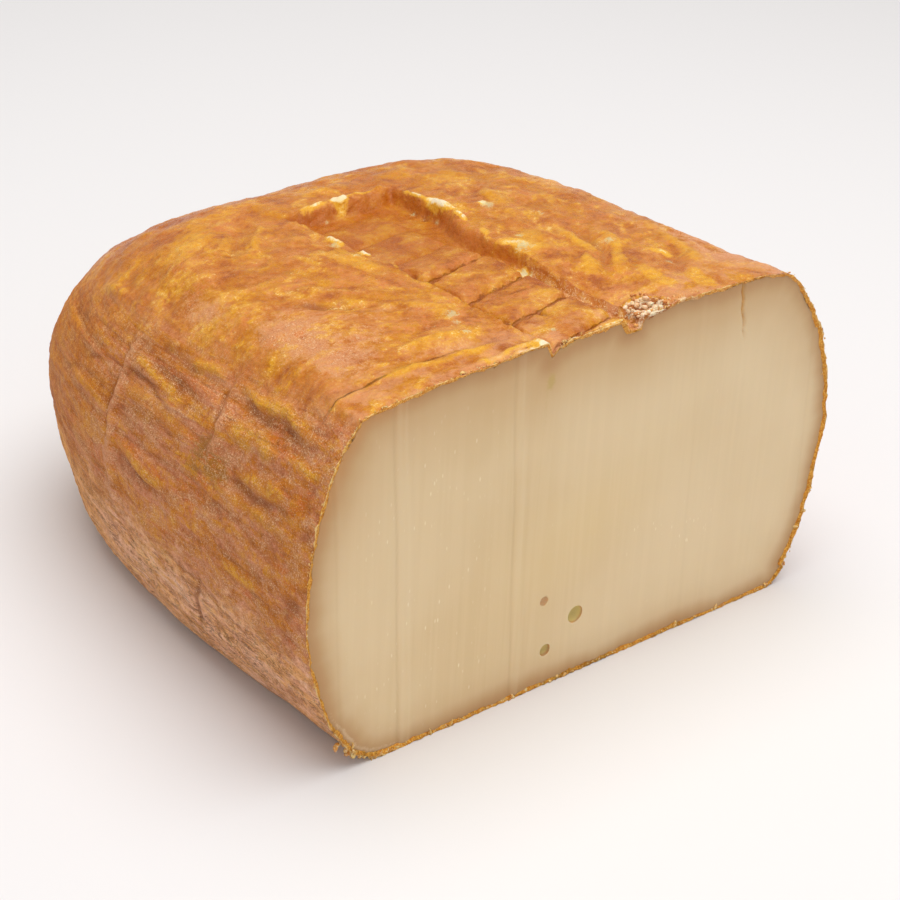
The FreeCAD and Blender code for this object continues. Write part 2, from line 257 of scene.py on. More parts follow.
def cast(origins, directions):
    """Points where rays from inside leave the plain body."""
    near = np.zeros(len(origins))
    far = np.full(len(origins), WIDTH + DEPTH)
    for _ in range(HALVINGS):
        middle = (near + far) / 2
        out = proud(origins + directions * middle[:, None]) > 0
        near, far = np.where(out, near, middle), np.where(out, middle, far)
    return origins + directions * near[:, None]


def spine_rays(box_points):
    """Origins and unit directions from the spine through points of the box."""
    origins = np.stack([
        np.zeros(len(box_points)),
        np.minimum(box_points[:, 1], SPINE_END),
        np.full(len(box_points), SPINE_LEVEL),
    ], -1)
    rays = box_points - origins
    return origins, rays / np.linalg.norm(rays, axis=1, keepdims=True)


def graded(count, weight):
    """Shares from 0 to 1 that stand closer where the weight is greater."""
    middles = (np.arange(4 * count) + 0.5) / (4 * count)
    heaped = np.concatenate([[0], np.cumsum(weight(middles))])
    return np.interp(np.arange(count + 1) / count, heaped / heaped[-1], np.linspace(0, 1, 4 * count + 1))


def box_net(across, along, up):
    """Welded net over five sides of a box, open at the front: shares, faces, underside and rim."""
    ids = -np.ones((across + 1, along + 1, up + 1), int)
    wall = np.zeros(ids.shape, bool)
    wall[0] = wall[-1] = True
    wall[:, -1] = True
    wall[:, :, 0] = wall[:, :, -1] = True
    ids[wall] = np.arange(wall.sum())
    steps = np.argwhere(wall)
    shares = np.stack([
        graded(across, lambda share: 1 + 0.8 * bell(share, 0.49, 0.13))[steps[:, 0]],
        graded(along, lambda share: 1.5 - 0.9 * share ** 2 + 1.5 * np.exp(-share / 0.03))[steps[:, 1]],
        graded(up, lambda share: 1 + 0.3 * share)[steps[:, 2]],
    ], -1)
    sides = [(ids[:, :, -1], 1), (ids[0], -1), (ids[-1], 1), (ids[:, -1], -1)]
    faces = np.concatenate([patch(grid, turn) for grid, turn in sides])
    rim = np.concatenate([ids[:-1, 0, 0], ids[-1, 0, :-1], ids[:0:-1, 0, -1], ids[0, 0, :0:-1]])
    return shares, faces, blocks(ids[:, :, 0], UNDER_BLOCK), rim


def blocks(grid, size):
    """Large faces over a grid, which keep every vertex of its outer edges, turned downwards."""
    across, along = (length - 1 for length in grid.shape)
    faces = []
    for left in range(0, across, size):
        for near in range(0, along, size):
            right, far = min(left + size, across), min(near + size, along)
            loop = list(grid[left:right, near]) if near == 0 else [grid[left, near]]
            loop += list(grid[right, near:far]) if right == across else [grid[right, near]]
            loop += list(grid[right:left:-1, far]) if far == along else [grid[right, far]]
            loop += list(grid[left, far:near:-1]) if left == 0 else [grid[left, far]]
            faces.append([int(number) for number in loop[::-1]])
    return faces


def patch(grid, turn=1):
    """Four-cornered faces over a grid of vertex numbers."""
    corners = [grid[:-1, :-1], grid[1:, :-1], grid[1:, 1:], grid[:-1, 1:]]
    return np.stack(corners[::turn], -1).reshape(-1, 4)


def ring_faces(outer, inner, turn=1):
    """Four-cornered faces between two closed rings of vertex numbers."""
    return patch(np.stack([np.append(outer, outer[0]), np.append(inner, inner[0])]), turn).tolist()


def cap_faces(ring, tip):
    """Three-cornered faces from a closed ring of vertex numbers to a tip."""
    return [[int(here), int(ahead), int(tip)] for here, ahead in zip(ring, np.roll(ring, -1))]


def unit(vectors):
    return vectors / np.linalg.norm(vectors, axis=1, keepdims=True).clip(1e-12)


def normals_of(points, faces):
    a, b, c, d = (points[faces[:, corner]] for corner in range(4))
    face_normals = np.cross(c - a, d - b)
    total = np.zeros_like(points)
    for corner in range(4):
        np.add.at(total, faces[:, corner], face_normals)
    return unit(total)


def ease(value, low, high):
    """Smooth step from 0 at low to 1 at high."""
    share = np.clip((value - low) / (high - low), 0, 1)
    return share * share * (3 - 2 * share)


def bell(values, middle, half_width):
    """Smooth bump of height 1."""
    return np.exp(-((values - middle) / half_width) ** 2)


def waver(place, *waves):
    """Sum of sines, each given as (length, height, shift)."""
    return sum(height * np.sin(2 * np.pi * place / length + shift) for length, height, shift in waves)


def deepen(tones, name, strength):
    """Raise one tone's mask to the strength, where it is weaker."""
    np.maximum(tones[name], strength, out=tones[name])


# ------------------------------------------------------------------ relief of the rind

def lattice(places, seed):
    """A chance value from 0 to 1 for each whole-numbered place."""
    mixed = np.sin(places @ np.array([127.1, 311.7, 74.7]) + seed * 19.19) * 43758.5453
    return mixed - np.floor(mixed)


def grit(points, size, seed):
    """Smooth noise from -1 to 1 with lumps of the given size."""
    scaled = points / size + seed * 7.31
    base = np.floor(scaled)
    share = scaled - base
    share = share * share * (3 - 2 * share)
    total = np.zeros(len(points))
    for corner in np.ndindex(2, 2, 2):
        weight = np.prod(np.where(corner, share, 1 - share), axis=1)
        total += weight * lattice(base + corner, seed)
    return total * 2 - 1


def press(u, v, start, end, half_width):
    """Shape, 0 to 1, of a mark pressed along a run between two places."""
    run_u, run_v = end[0] - start[0], end[1] - start[1]
    share = ((u - start[0]) * run_u + (v - start[1]) * run_v) / (run_u ** 2 + run_v ** 2)
    share = np.clip(share, 0, 1)
    gap = np.hypot(u - start[0] - share * run_u, v - start[1] - share * run_v)
    taper = np.minimum(1, 0.25 + 3 * np.minimum(share, 1 - share))
    return bell(gap, 0, half_width) * taper


def press_all(u, v, rows, where, relief, tones, lift=1.0, spread=1.0):
    """Press a table of strokes as strongly as the mask says."""
    for start, end, half_width, rise, tone, strength in rows:
        shape = press(u, v, start, end, spread * half_width) * where
        relief += lift * (RIDGE if rise > 0 else TROUGH) * rise * shape
        deepen(tones, tone, strength * shape)


def chance_strokes(count, seed, reach, lengths, slope, tones, rises):
    """Table of strokes laid by chance between two corners."""
    rng = np.random.default_rng(seed)
    rows = []
    for _ in range(count):
        start = rng.uniform(reach[0], reach[1])
        length, fall = rng.uniform(*lengths), rng.normal(0, slope)
        tone = tones[rng.integers(len(tones))]
        rise = rng.uniform(0.3, 1.0) * rises[tone]
        half_width, strength = rng.uniform(1.0, 2.3), rng.uniform(0.4, 1.0)
        rows.append((start, start + (length, fall), half_width, rise, tone, strength))
    return rows


def cloth_folds(bearing, level):
    """Folds of the cloth that run round the flank, as on the solid."""
    relief = np.zeros_like(level)
    for fold in range(FOLDS["count"]):
        sway = np.sin(2.3 * bearing + 2.4 * fold) + 0.4 * np.sin(6.1 * bearing + fold)
        line = FOLDS["first"] + fold * FOLDS["pitch"] + FOLDS["sway"] * sway
        fade = 0.55 + 0.45 * np.sin(2.9 * bearing + 1.9 * fold)
        relief += FOLDS["height"] * fade * (bell(level, line, FOLDS["half_width"]) - FOLDS["share"])
    return relief


def mark_sink(x, y):
    """Depth of the stamped field with its raised bars, and its masks.

    The masks are the field, the joints between bars, the bar reached and the gutter by the left wall.
    """
    left = MARK["left"] + MARK["left_lean"] * y
    wider = MARK["flare"] * ease(y, 68, 86)
    right = MARK["right"] + MARK["right_lean"] * y + wider
    soft = 1 - 0.6 * ease(y, 46, 62) * (1 - 0.7 * ease(y, 80, 90))
    wall = np.minimum(np.minimum(x - left, soft * (right - x)), MARK["length"] - y)
    floor = ease(wall, -0.3, MARK["wall"])
    step = (y - BARS["slant"] * (x - left) / (right - wider - left)) / BAR_PITCH
    within_bars = step <= BARS["count"]
    gap = np.minimum(step % 1, 1 - step % 1) * BAR_PITCH - BARS["gap"] / 2
    side = np.minimum(x - left - BARS["left"], right - wider - BARS["right"] - x)
    far = ease(y, 52, 74)
    drop = BARS["near_drop"] + (BARS["far_drop"] - BARS["near_drop"]) * far
    on_bar = ease(side, -0.5, 1.8) * within_bars
    split = (1 - ease(gap, -0.4, BARS["round"])) * (0.4 + 0.6 * far)
    raised = on_bar * (1 - split) * (MARK["depth"] - drop) + 0.4 * ease(np.minimum(gap, side), 0, 6)
    sink = floor * (MARK["depth"] - raised)
    beside = np.clip(1 - (x - right) / RAMP["width"], 0, 1) * ease(-y, -RAMP["length"], -12)
    beside = beside * (0.5 + 0.5 * ease(y, 3, 11))
    slope = 0.85 * MARK["depth"] * beside * ease(x, right - 1.5, right + 0.6)
    near = 1 - ease(y, 60, 72)
    joint = floor * near * ease(side, -0.6, 0.2)
    gutter = near * np.exp(-((x - left - 0.9) / 0.7) ** 2)
    return np.maximum(sink, slope), floor, joint, step, gutter


def hollow_reach(x, y):
    """Distance from the hollow's middle: 1 at its edge."""
    return np.hypot((x - HOLLOW["x"]) / HOLLOW["across"], (y - HOLLOW["y"]) / HOLLOW["along"])


def hollow_sink(points):
    """Depth of the crumbly hollow at the cut, its mask, and the lip that rises round it."""
    x, y = points[:, 0], points[:, 1]
    reach = hollow_reach(x, y)
    reach = reach + 0.16 * grit(points, 2.6, 41) + 0.1 * grit(points, 1.3, 42)
    rough = 1.0 * grit(points, 1.9, 43)
    lip = 0.8 * bell(reach, 1.12, 0.14) * ease(y, 1.5, 4)
    near_cut = 0.12 + 0.88 * ease(y, 0.6, 3.2)
    sink = (HOLLOW["depth"] + rough) * ease(-reach, -1.05, -0.5) * near_cut - lip
    return sink, ease(-reach, -1.18, -0.95), lip


def big_relief(points, normals):
    """Relief along the normals, and the masks that the finish reads."""
    x, y, z = points.T
    bearing = np.arctan2(y + KNIFE_OFFSET, x)
    top = ease(normals[:, 2], 0.5, 0.8)
    under = ease(-normals[:, 2], 0.75, 0.95)
    flank = (1 - top) * (1 - under)
    left = ease(-normals[:, 0], 0.25, 0.6) * flank
    round_it = np.stack([bearing * GIRTH, z], -1)

    warp_u = 2.0 * grit(points, 15, 1) + 1.2 * grit(points, 6, 2) + 0.4 * grit(points, 2.6, 3)
    warp_v = 1.3 * grit(points, 15, 4) + 1.2 * grit(points, 6, 5) + 0.4 * grit(points, 2.6, 6)
    broken = np.clip(1.0 + 0.45 * grit(points, 7, 7) + 0.25 * grit(points, 3, 8), 0, 1.3)
    relief = cloth_folds(bearing, z) * flank * (1 - 0.75 * left)
    tones = {name: np.zeros(len(points)) for name in TONES}
    press_all(y + warp_u, z + warp_v, FLANK_STROKES, left * broken, relief, tones, spread=FLANK_SPREAD)
    press_all(x + warp_u, y + warp_v, TOP_STROKES, top * broken, relief, tones, TOP_LIFT)
    hidden = chance_strokes(90, SEEDS["flank"], np.array([[-10, 14], [270, 95]]), (14, 44), 1.5,
                            ("ochre", "rust", "rust", "ochre", "blush"),
                            dict(ochre=0.9, rust=-0.9, blush=0.5))
    press_all(round_it[:, 0] + warp_u, z + warp_v, hidden, flank * (1 - left) * broken, relief, tones)
    radius = np.hypot(x - GATHER[0], y - GATHER[1])
    spokes = chance_strokes(70, SEEDS["top"], np.array([[-60, 26], [185, 120]]), (0, 3), 14.0,
                            ("ochre", "rust", "ochre", "blush"), dict(ochre=0.5, rust=-0.5, blush=0.2))
    turned = np.arctan2(y - GATHER[1], x - GATHER[0]) * SPOKE_REACH
    press_all(turned + warp_u, radius + warp_v, spokes, 0.6 * top * ease(radius, 22, 40), relief, tones)

    field_points = points + 0.8 * grit(points, 6, 11)[:, None] * (1, 1, 0)
    field_points = field_points + 0.35 * grit(points, 2.2, 12)[:, None] * (1, -1, 0)
    sink, floor, joint, step, gutter = mark_sink(field_points[:, 0], field_points[:, 1])
    hollow, crumb, lip = hollow_sink(points)
    deepen(tones, "ochre", 1.2 * lip * top)
    strip = ease(-np.abs(x - 23), -10, -8) * ease(-y, -1.9 - 0.8 * grit(points, 2.0, 44), -0.4)
    crumb = np.maximum(crumb, 0.6 * strip)
    relief = relief * (1 - floor * top)
    ragged = 1 + 0.5 * grit(points, 3.2, 21) + 0.35 * grit(points, 1.5, 22)
    for start, end, half_width, rise, strength in LIPS:
        shape = press(x + warp_u * 0.6, y + warp_v * 0.6, start, end, 0.75 * half_width) * top
        relief += rise * shape * ragged * (1 - 0.8 * floor)
        deepen(tones, "pale", strength * shape * ragged)
    for centre_x, centre_y, half_x, half_y, depth in PITS:
        pit = np.exp(-((x - centre_x) / half_x) ** 2 - ((y - centre_y) / half_y) ** 2) * top
        relief -= depth * pit
        deepen(tones, "rust", 1.3 * pit)
    for centre_x, centre_y, size in MOULD_SPOTS:
        spot = np.clip(1 - np.hypot(x - centre_x, y - centre_y) / (1.3 * size), 0, 1) * top
        deepen(tones, "mould", spot)
    deepen(tones, "rust", 0.9 * gutter * top * ease(ragged, 0.6, 1.3))
    relief = relief - np.where(hollow < 0, sink + hollow, np.maximum(sink, hollow)) * top
    powder = np.maximum(flank, np.clip(tones["blush"] * top, 0, 1))
    bars_end = MARK["right"] - BARS["right"]
    channel = floor * ease(x, bars_end - 1.5, bars_end) * ease(-y, -52, -38)
    waxy_far = 1 - ease(radius, 26, 62) * (1 - floor)
    return relief, dict(
        top=top, under=under, mark=floor * top * (0.25 + 0.75 * ease(y, 50, 72)), crumb=crumb * top,
        powder=np.maximum(powder, channel * top), still=waxy_far * top, channel=channel * top,
        joint=joint * top, wall=4 * floor * (1 - floor) * top, bar_step=step, **tones)


def eased_in(points):
    """Points kept inside the box's sides, back and top by a soft limit."""
    held = points.copy()
    held[:, 0] = soft_limit(points[:, 0], HALF_WIDTH - SKIN_CLEAR)
    held[:, 1] = np.where(points[:, 1] > 0, soft_limit(points[:, 1], DEPTH - SKIN_CLEAR), points[:, 1])
    held[:, 2] = np.clip(soft_limit(points[:, 2], HEIGHT - SKIN_CLEAR), 0.0, None)
    return held


def soft_limit(values, limit):
    """Values eased towards the limit on both sides, and never past it."""
    over = np.clip(np.abs(values) - (limit - SPARE), 0, None)
    eased = np.abs(values) - over + SPARE * (1 - np.exp(-over / SPARE))
    return np.sign(values) * eased


# ------------------------------------------------------------------ meshes

def linked(name, data):
    """New object in the scene."""
    thing = bpy.data.objects.new(name, data)
    bpy.context.scene.collection.objects.link(thing)
    return thing


def baked(thing):
    """The object with the plain mesh that its modifier makes."""
    ready = thing.evaluated_get(bpy.context.evaluated_depsgraph_get())
    plain = bpy.data.meshes.new_from_object(ready)
    thing.modifiers.clear()
    thing.data = plain
    plain.shade_smooth()
    return thing


def mesh_from(name, points, faces, masks):
    """Mesh in the frame's place from millimetre points, with its masks as attributes."""
    mesh = bpy.data.meshes.new(name)
    placed = (np.asarray(points) + (MIDDLE_X, CUT_Y, 0)) * MM
    mesh.from_pydata(placed.tolist(), [], [list(map(int, face)) for face in faces])
    for label, values in masks.items():
        values = np.asarray(values, np.float32)
        kind, key = ("FLOAT", "value") if values.ndim == 1 else ("FLOAT_VECTOR", "vector")
        mesh.attributes.new(label, kind, "POINT").data.foreach_set(key, values.ravel())
    mesh.shade_smooth()
    mesh.update()
    return linked(name, mesh)


def loop_inset(loop, distance):
    """Closed outline in the cut's plane moved inwards; its corners are eased."""
    ahead, behind = np.roll(loop, -2, 0), np.roll(loop, 2, 0)
    run = unit(ahead - behind)
    inwards = np.stack([-run[:, 2], run[:, 1] * 0, run[:, 0]], -1)
    for _ in range(3):
        inwards = unit(inwards + np.roll(inwards, 1, 0) + np.roll(inwards, -1, 0))
    return loop + inwards * np.asarray(distance)[:, None]


def skin():
    """Outer skin of the rind with its big relief: points, faces, underside, masks and rim."""
    shares, faces, underside, rim = box_net(*NET)
    box_points = shares * (WIDTH, DEPTH, HEIGHT) - (HALF_WIDTH, 0, 0)
    points = cast(*spine_rays(box_points))
    normals = normals_of(points, faces)
    normals[rim, 1] = 0
    normals = unit(normals)
    relief, masks = big_relief(points, normals)
    masks["flow_top"] = flow_over_top(points)
    masks["flow_flank"] = flow_round_flank(points)
    moved = eased_in(points + normals * relief[:, None])
    moved[rim, 1] = points[rim, 1]
    return moved, faces, underside, masks, rim


def flow_over_top(points):
    """Across and along the pleats of the top."""
    x, y = points[:, 0] - GATHER[0], points[:, 1] - GATHER[1]
    radius = np.hypot(x, y)
    return np.stack([np.arctan2(y, x) * PLEAT_REACH, radius, points[:, 2] * 0.2], -1)


def flow_round_flank(points):
    """Across and along the folds of the flank."""
    x, along, z = points[:, 0], points[:, 1] + KNIFE_OFFSET, points[:, 2]
    bearing = np.arctan2(along, x)
    inset = belly_reach(bearing) - np.hypot(x, along)
    return np.stack([z + np.sign(z - BELLY_HEIGHT) * inset, bearing * GIRTH, z * 0], -1)


def inner_rows(loop):
    """Rows of the hidden inner skin behind a rim loop, and its far pole."""
    count = len(loop)
    outwards = loop - (0, 0, SPINE_LEVEL)
    outwards[:, 1] = 0
    outwards = unit(outwards)
    rows = []
    for y in HIDDEN_ROWS:
        origin = np.tile((0.0, y, SPINE_LEVEL), (count, 1))
        deep = cast(origin, outwards) - outwards * HIDDEN_DEPTH
        near = loop + (0, y, 0)
        blend = ease(np.array([y]), *HIDDEN_ROWS[:2])[0]
        rows.append(near * (1 - blend) + deep * blend)
    origin = np.tile((0.0, SPINE_END, SPINE_LEVEL), (count, 1))
    for angle in map(math.radians, HIDDEN_TILTS):
        ray = outwards * math.cos(angle) + np.array((0, math.sin(angle), 0))
        rows.append(cast(origin, ray) - ray * HIDDEN_DEPTH)
    pole = cast(origin[:1], np.array([[0.0, 1.0, 0.0]])) - (0, HIDDEN_DEPTH, 0)
    return rows, pole[0]


def rim_widths(count):
    """Width of the rind round the cut, thin and thick by turns."""
    place = np.arange(count)
    return RIND * (1 + waver(place, (61, 0.14, 0.2), (23.3, 0.16, 1.9), (9.7, 0.14, 0.4), (4.3, 0.10, 2)))


def rind_mesh(points, faces, underside, masks, rim):
    """Closed shell: the skin, a ragged band at the cut, and the hidden inner skin."""
    count = len(rim)
    place = np.arange(count)
    thickness = rim_widths(count)
    loop = points[rim]
    ragged = np.random.default_rng(SEEDS["rim"]).normal(0, 1, (5, count))
    band = []
    for number, (share, forward, _) in enumerate(RIM_ROWS):
        row = loop_inset(loop, thickness * (share + 0.05 * ragged[0] * (share < 1)))
        row[:, 1] = FRONT_GAP + forward + 0.12 * ragged[number + 1]
        band.append(row)
    rows, pole = inner_rows(loop_inset(loop, thickness))
    points = points.copy()
    points[rim, 1] = FRONT_GAP - 0.4 + 0.15 * ragged[0].clip(-1, 1)
    everything = [points] + band + rows + [pole[None]]
    start = len(points)
    numbers = [rim] + [start + ring * count + place for ring in range(len(band) + len(rows))]
    all_faces = faces.tolist() + underside
    for outer, inner in zip(numbers, numbers[1:]):
        all_faces += ring_faces(outer, inner, -1)
    all_faces += cap_faces(numbers[-1], start + (len(band) + len(rows)) * count)
    total = sum(len(part) for part in everything)
    grown = {}
    for label, values in masks.items():
        fill = np.zeros((total - start,) + values.shape[1:])
        for ring in range(len(band)):
            fill[ring * count:(ring + 1) * count] = values[rim]
        grown[label] = np.concatenate([values, fill])
    loose = np.zeros(total)
    loose[:start] = 1 - 0.85 * (masks["under"] > 0.5)
    rim_mask = np.zeros(total)
    rim_mask[rim] = 0.5
    for ring, (_, _, share) in enumerate(RIM_ROWS):
        rim_mask[start + ring * count:start + (ring + 1) * count] = share
    grown.update(loose=loose, rim=rim_mask)
    return (*compact(np.concatenate(everything), all_faces, grown), thickness)


def compact(points, faces, masks):
    """Drop the points that no face uses."""
    used = np.zeros(len(points), bool)
    for face in faces:
        used[face] = True
    numbers = np.cumsum(used) - 1
    faces = [[int(numbers[corner]) for corner in face] for face in faces]
    return points[used], faces, {label: values[used] for label, values in masks.items()}


def resample(loop, factor):
    """Closed loop with each span divided into as many equal spans."""
    ahead = np.roll(loop, -1, 0)
    shares = (np.arange(factor) / factor)[None, :, None]
    return (loop[:, None] * (1 - shares) + ahead[:, None] * shares).reshape(-1, 3)


def paste_mesh(points, rim, thickness):
    """Closed body of paste: a fine cut face stretched in its outline, coarse sides and back."""
    across, _, up = NET
    fine = CUT_FINENESS
    border = loop_inset(points[rim], thickness - FACE_OVERLAP)
    border[:, 1] = 0
    border = resample(border, fine)
    columns, levels = across * fine, up * fine
    bottom = border[:columns + 1]
    right = border[columns:columns + levels + 1]
    top = border[columns + levels:2 * columns + levels + 1][::-1]
    left = np.concatenate([border[2 * columns + levels:], border[:1]])[::-1]
    u = np.linspace(0, 1, columns + 1)[:, None, None]
    v = np.linspace(0, 1, levels + 1)[None, :, None]
    ruled = (1 - v) * bottom[:, None] + v * top[:, None] + (1 - u) * left[None] + u * right[None]
    corner = ((1 - u) * (1 - v) * bottom[0] + u * (1 - v) * bottom[-1]
              + (1 - u) * v * top[0] + u * v * top[-1])
    face_points = (ruled - corner).reshape(-1, 3)
    ids = np.arange(len(face_points)).reshape(columns + 1, levels + 1)
    loop = np.concatenate([ids[:-1, 0], ids[-1, :-1], ids[:0:-1, -1], ids[0, :0:-1]])
    face_points[:, 1] = cut_relief(face_points)
    coarse = loop[::fine]
    rows, pole = inner_rows(loop_inset(points[rim], thickness - SIDE_OVERLAP))
    start, count = len(face_points), len(coarse)
    numbers = [coarse] + [start + ring * count + np.arange(count) for ring in range(len(rows))]
    faces = patch(ids).tolist()
    ring = numbers[1]
    for k in range(count):
        ahead = (k + 1) % count
        middle = loop[k * fine + 1]
        faces.append([int(n) for n in (loop[k * fine], ring[k], ring[ahead], loop[ahead * fine], middle)])
    for outer, inner in zip(numbers[1:], numbers[2:]):
        faces += ring_faces(outer, inner)
    tip = start + len(rows) * count
    faces += [[ahead, here, pole_number] for here, ahead, pole_number in cap_faces(numbers[-1], tip)]
    everything = np.concatenate([face_points] + rows + [pole[None]])
    depth = border_distance(face_points, border)
    tones = cut_tones(face_points, depth)
    tones["edge"] = np.clip(1 - depth / EDGE_REACH, 0, 1)
    rest = np.zeros(len(everything) - start)
    return everything, faces, {name: np.concatenate([values, rest]) for name, values in tones.items()}


def border_distance(points, border):
    """Distance of each point of the cut face from the outline."""
    tree = KDTree(len(border))
    for number, place in enumerate(border):
        tree.insert((place[0], 0, place[2]), number)
    tree.balance()
    return np.array([tree.find((x, 0, z))[2] for x, _, z in points])


def crack_line(z):
    """Where the crack runs across the cut face at each level."""
    down = (CRACK_TOP - z).clip(0)
    return CRACK["x"] + CRACK["run"] * down / CRACK["length"] + 0.25 * np.sin(down * 0.9)


def cut_tones(points, depth):
    """Masks of the cut face, such as the glow by the rind, the smeared film and the crack's seam."""
    x, z = points[:, 0], points[:, 2]
    glow = np.exp(-depth / 2.2) * bell(x, -72, 16) * ease(z, 60, 84)
    film = bell(depth, 0.9, 0.8) * ease(-z, -30, -10) * ease(-x, 50, 66)
    film = np.maximum(film, 0.5 * bell(depth, 0.6, 0.6) * ease(z, 70, 95))
    stain = np.exp(-((x + 16.5) / 1.5) ** 2 - ((z - 92) / 2.4) ** 2)
    stain = np.maximum(stain, 0.35 * bell(x, -17.5, 1.2) * ease(z, 66, 90))
    stain = np.maximum(stain, 0.6 * bell(x, -10, 7) * np.exp(-depth / 1.6) * ease(z, 80, 90))
    run = ease(z, CRACK_TOP - CRACK["length"], HEIGHT - 7)
    seam = bell(x, crack_line(z), 0.6) * run
    # Mask of painted light along the knife lines: positive for painted shade in the grooves, negative for a
    # painted highlight beside them and on the ridges.
    groove = np.zeros(len(points))
    for place, strength in KNIFE_LINES:
        gap = knife_gap(x, z, place)
        groove += strength * 2.2 * (bell(gap, 0, 0.45) - 0.45 * bell(gap, 1.5, 0.9))
    warm = np.exp(-((x + 4) / 26) ** 2 - ((z - 46 - 0.3 * x) / 15) ** 2)
    upper = ease(z - 0.1 * x, 50, 96)
    low_nicks = np.exp(-((x - 30) / 15) ** 4 - ((z - 34) / 9) ** 4)
    nicks = np.maximum(0.8 * ease(-x, 28, 40) * ease(x, -78, -66), low_nicks)
    return dict(glow=glow, film=film, stain=stain, seam=seam, groove=groove, warm=warm, upper=upper,
                nicks=nicks)


def knife_gap(x, z, place):
    """Distance across from one of the wavering lines that the knife left."""
    return x - place - waver(z, (140, 0.7, 0.5), (60, 0.25, 1)) + 0.03 * (z - 50)


def cut_relief(points):
    """How far the cut face lies behind the box's front: knife lines, and a dip beside the rind."""
    x, z = points[:, 0], points[:, 2]
    relief = np.zeros(len(points))
    for place, depth in KNIFE_LINES:
        gap = knife_gap(x, z, place)
        relief += depth * bell(gap, 0, 0.9) - 0.5 * depth * bell(gap, 2.4, 1.4)
    relief += 0.12 * waver(x, (70, 1, 0.3), (31, 0.4, 1.2))
    run = ease(z, CRACK_TOP - CRACK["length"], HEIGHT - 12)
    relief += CRACK["depth"] * bell(x, crack_line(z), CRACK["half_width"]) * run
    return FRONT_GAP + relief


# ------------------------------------------------------------------ node benches

class Wire:
    """An output socket. Arithmetic on it adds Math nodes to its tree."""

    def __init__(self, bench, socket):
        self.bench, self.socket = bench, socket

    def math(self, operation, *values):
        return self.bench.add("ShaderNodeMath", {"operation": operation}, dict(enumerate(values)))

    def __add__(self, other):
        return self.math("ADD", self, other)

    def __sub__(self, other):
        return self.math("SUBTRACT", self, other)

    def __rsub__(self, other):
        return self.math("SUBTRACT", other, self)

    def __mul__(self, other):
        return self.math("MULTIPLY", self, other)

    def __truediv__(self, other):
        return self.math("DIVIDE", self, other)

    def __pow__(self, other):
        return self.math("POWER", self, other)

    __radd__, __rmul__ = __add__, __mul__

    def least(self, other):
        return self.math("MINIMUM", self, other)

    def most(self, other):
        return self.math("MAXIMUM", self, other)

    def rise(self, low, high):
        """Smooth step: 0 up to low, 1 from high."""
        return self.bench.add("ShaderNodeMapRange", {"interpolation_type": "SMOOTHSTEP"},
                              {"Value": self, "From Min": low, "From Max": high})

    def stretched(self, scale):
        """Vector with each part multiplied."""
        return self.bench.add("ShaderNodeVectorMath", {"operation": "MULTIPLY"}, {0: self, 1: scale})


class Bench:
    """Builds one node tree, shader or geometry."""

    def __init__(self, tree):
        self.tree = tree

    def add(self, kind, settings=None, inputs=None, output=0):
        node = self.tree.nodes.new(kind)
        for name, value in (settings or {}).items():
            setattr(node, name, value)
        for name, value in (inputs or {}).items():
            socket = node.inputs[name]
            if isinstance(value, Wire):
                self.tree.links.new(value.socket, socket)
            else:
                socket.default_value = value
        return Wire(self, node.outputs[output])

    def noise(self, place, scale, detail=2.0, roughness=0.5, distortion=0.0, output=0):
        return self.add("ShaderNodeTexNoise", {}, {
            "Vector": place, "Scale": scale, "Detail": detail, "Roughness": roughness,
            "Distortion": distortion}, output)

    def noises(self, *sizes):
        """Three unlike noises of one scale."""
        return self.parts(self.noise(*sizes, output=1))

    def parts(self, vector):
        """The three numbers of a vector or colour."""
        first = self.add("ShaderNodeSeparateXYZ", {}, {0: vector})
        return [first] + [Wire(self, first.socket.node.outputs[axis]) for axis in ("Y", "Z")]

    def cells(self, place, scale, output="Distance"):
        return self.add("ShaderNodeTexVoronoi", {}, {"Vector": place, "Scale": scale}, output)

    def ramp(self, factor, *stops):
        """Colour ramp through (place, colour) stops."""
        wire = self.add("ShaderNodeValToRGB", {}, {"Fac": factor})
        elements = wire.socket.node.color_ramp.elements
        while len(elements) < len(stops):
            elements.new(0.5)
        for element, (place, colour) in zip(elements, stops):
            element.position, element.color = place, colour
        return wire

    def blend(self, factor, a, b, mode="MIX"):
        """Mix of two colours; the factor may be a wire."""
        return self.add("ShaderNodeMix", {"data_type": "RGBA", "blend_type": mode},
                        {0: factor, 6: a, 7: b}, 2)


class Finish(Bench):
    """A material and the bench for its nodes."""

    def __init__(self, name, **constants):
        self.material = bpy.data.materials.new(name)
        self.material.use_nodes = True
        super().__init__(self.material.node_tree)
        self.shader = self.tree.nodes["Principled BSDF"]
        for socket, value in constants.items():
            self.shader.inputs[socket.replace("_", " ")].default_value = value

    def place(self):
        """Object coordinates in millimetres."""
        return self.add("ShaderNodeTexCoord", output="Object").stretched((1 / MM,) * 3)

    def mask(self, name):
        return self.add("ShaderNodeAttribute", {"attribute_name": name}, output="Fac")

    def flow(self, name):
        return self.add("ShaderNodeAttribute", {"attribute_name": name}, output="Vector")

    def masks(self, *names):
        return [self.mask(name) for name in names]

    def coat(self, share, colour, mode="MIX"):
        """Lay a colour over what is there, as strongly as the share says."""
        self.colour = self.blend(share, self.colour, colour, mode)

    def feed(self, socket, wire):
        self.tree.links.new(wire.socket, self.shader.inputs[socket])

    def bump(self, height, distance, strength=1.0):
        self.feed("Normal", self.add("ShaderNodeBump", {}, {
            "Height": height, "Distance": distance * MM, "Strength": strength}))


def paint(red, green, blue):
    """Screen colour, 0 to 255, as the linear colour that a socket takes."""
    def linear(value):
        value /= 255
        return value / 12.92 if value <= 0.04045 else ((value + 0.055) / 1.055) ** 2.4
    return (linear(red), linear(green), linear(blue), 1.0)


def paints(*colours):
    return tuple(paint(*colour) for colour in colours)


# ------------------------------------------------------------------ colours

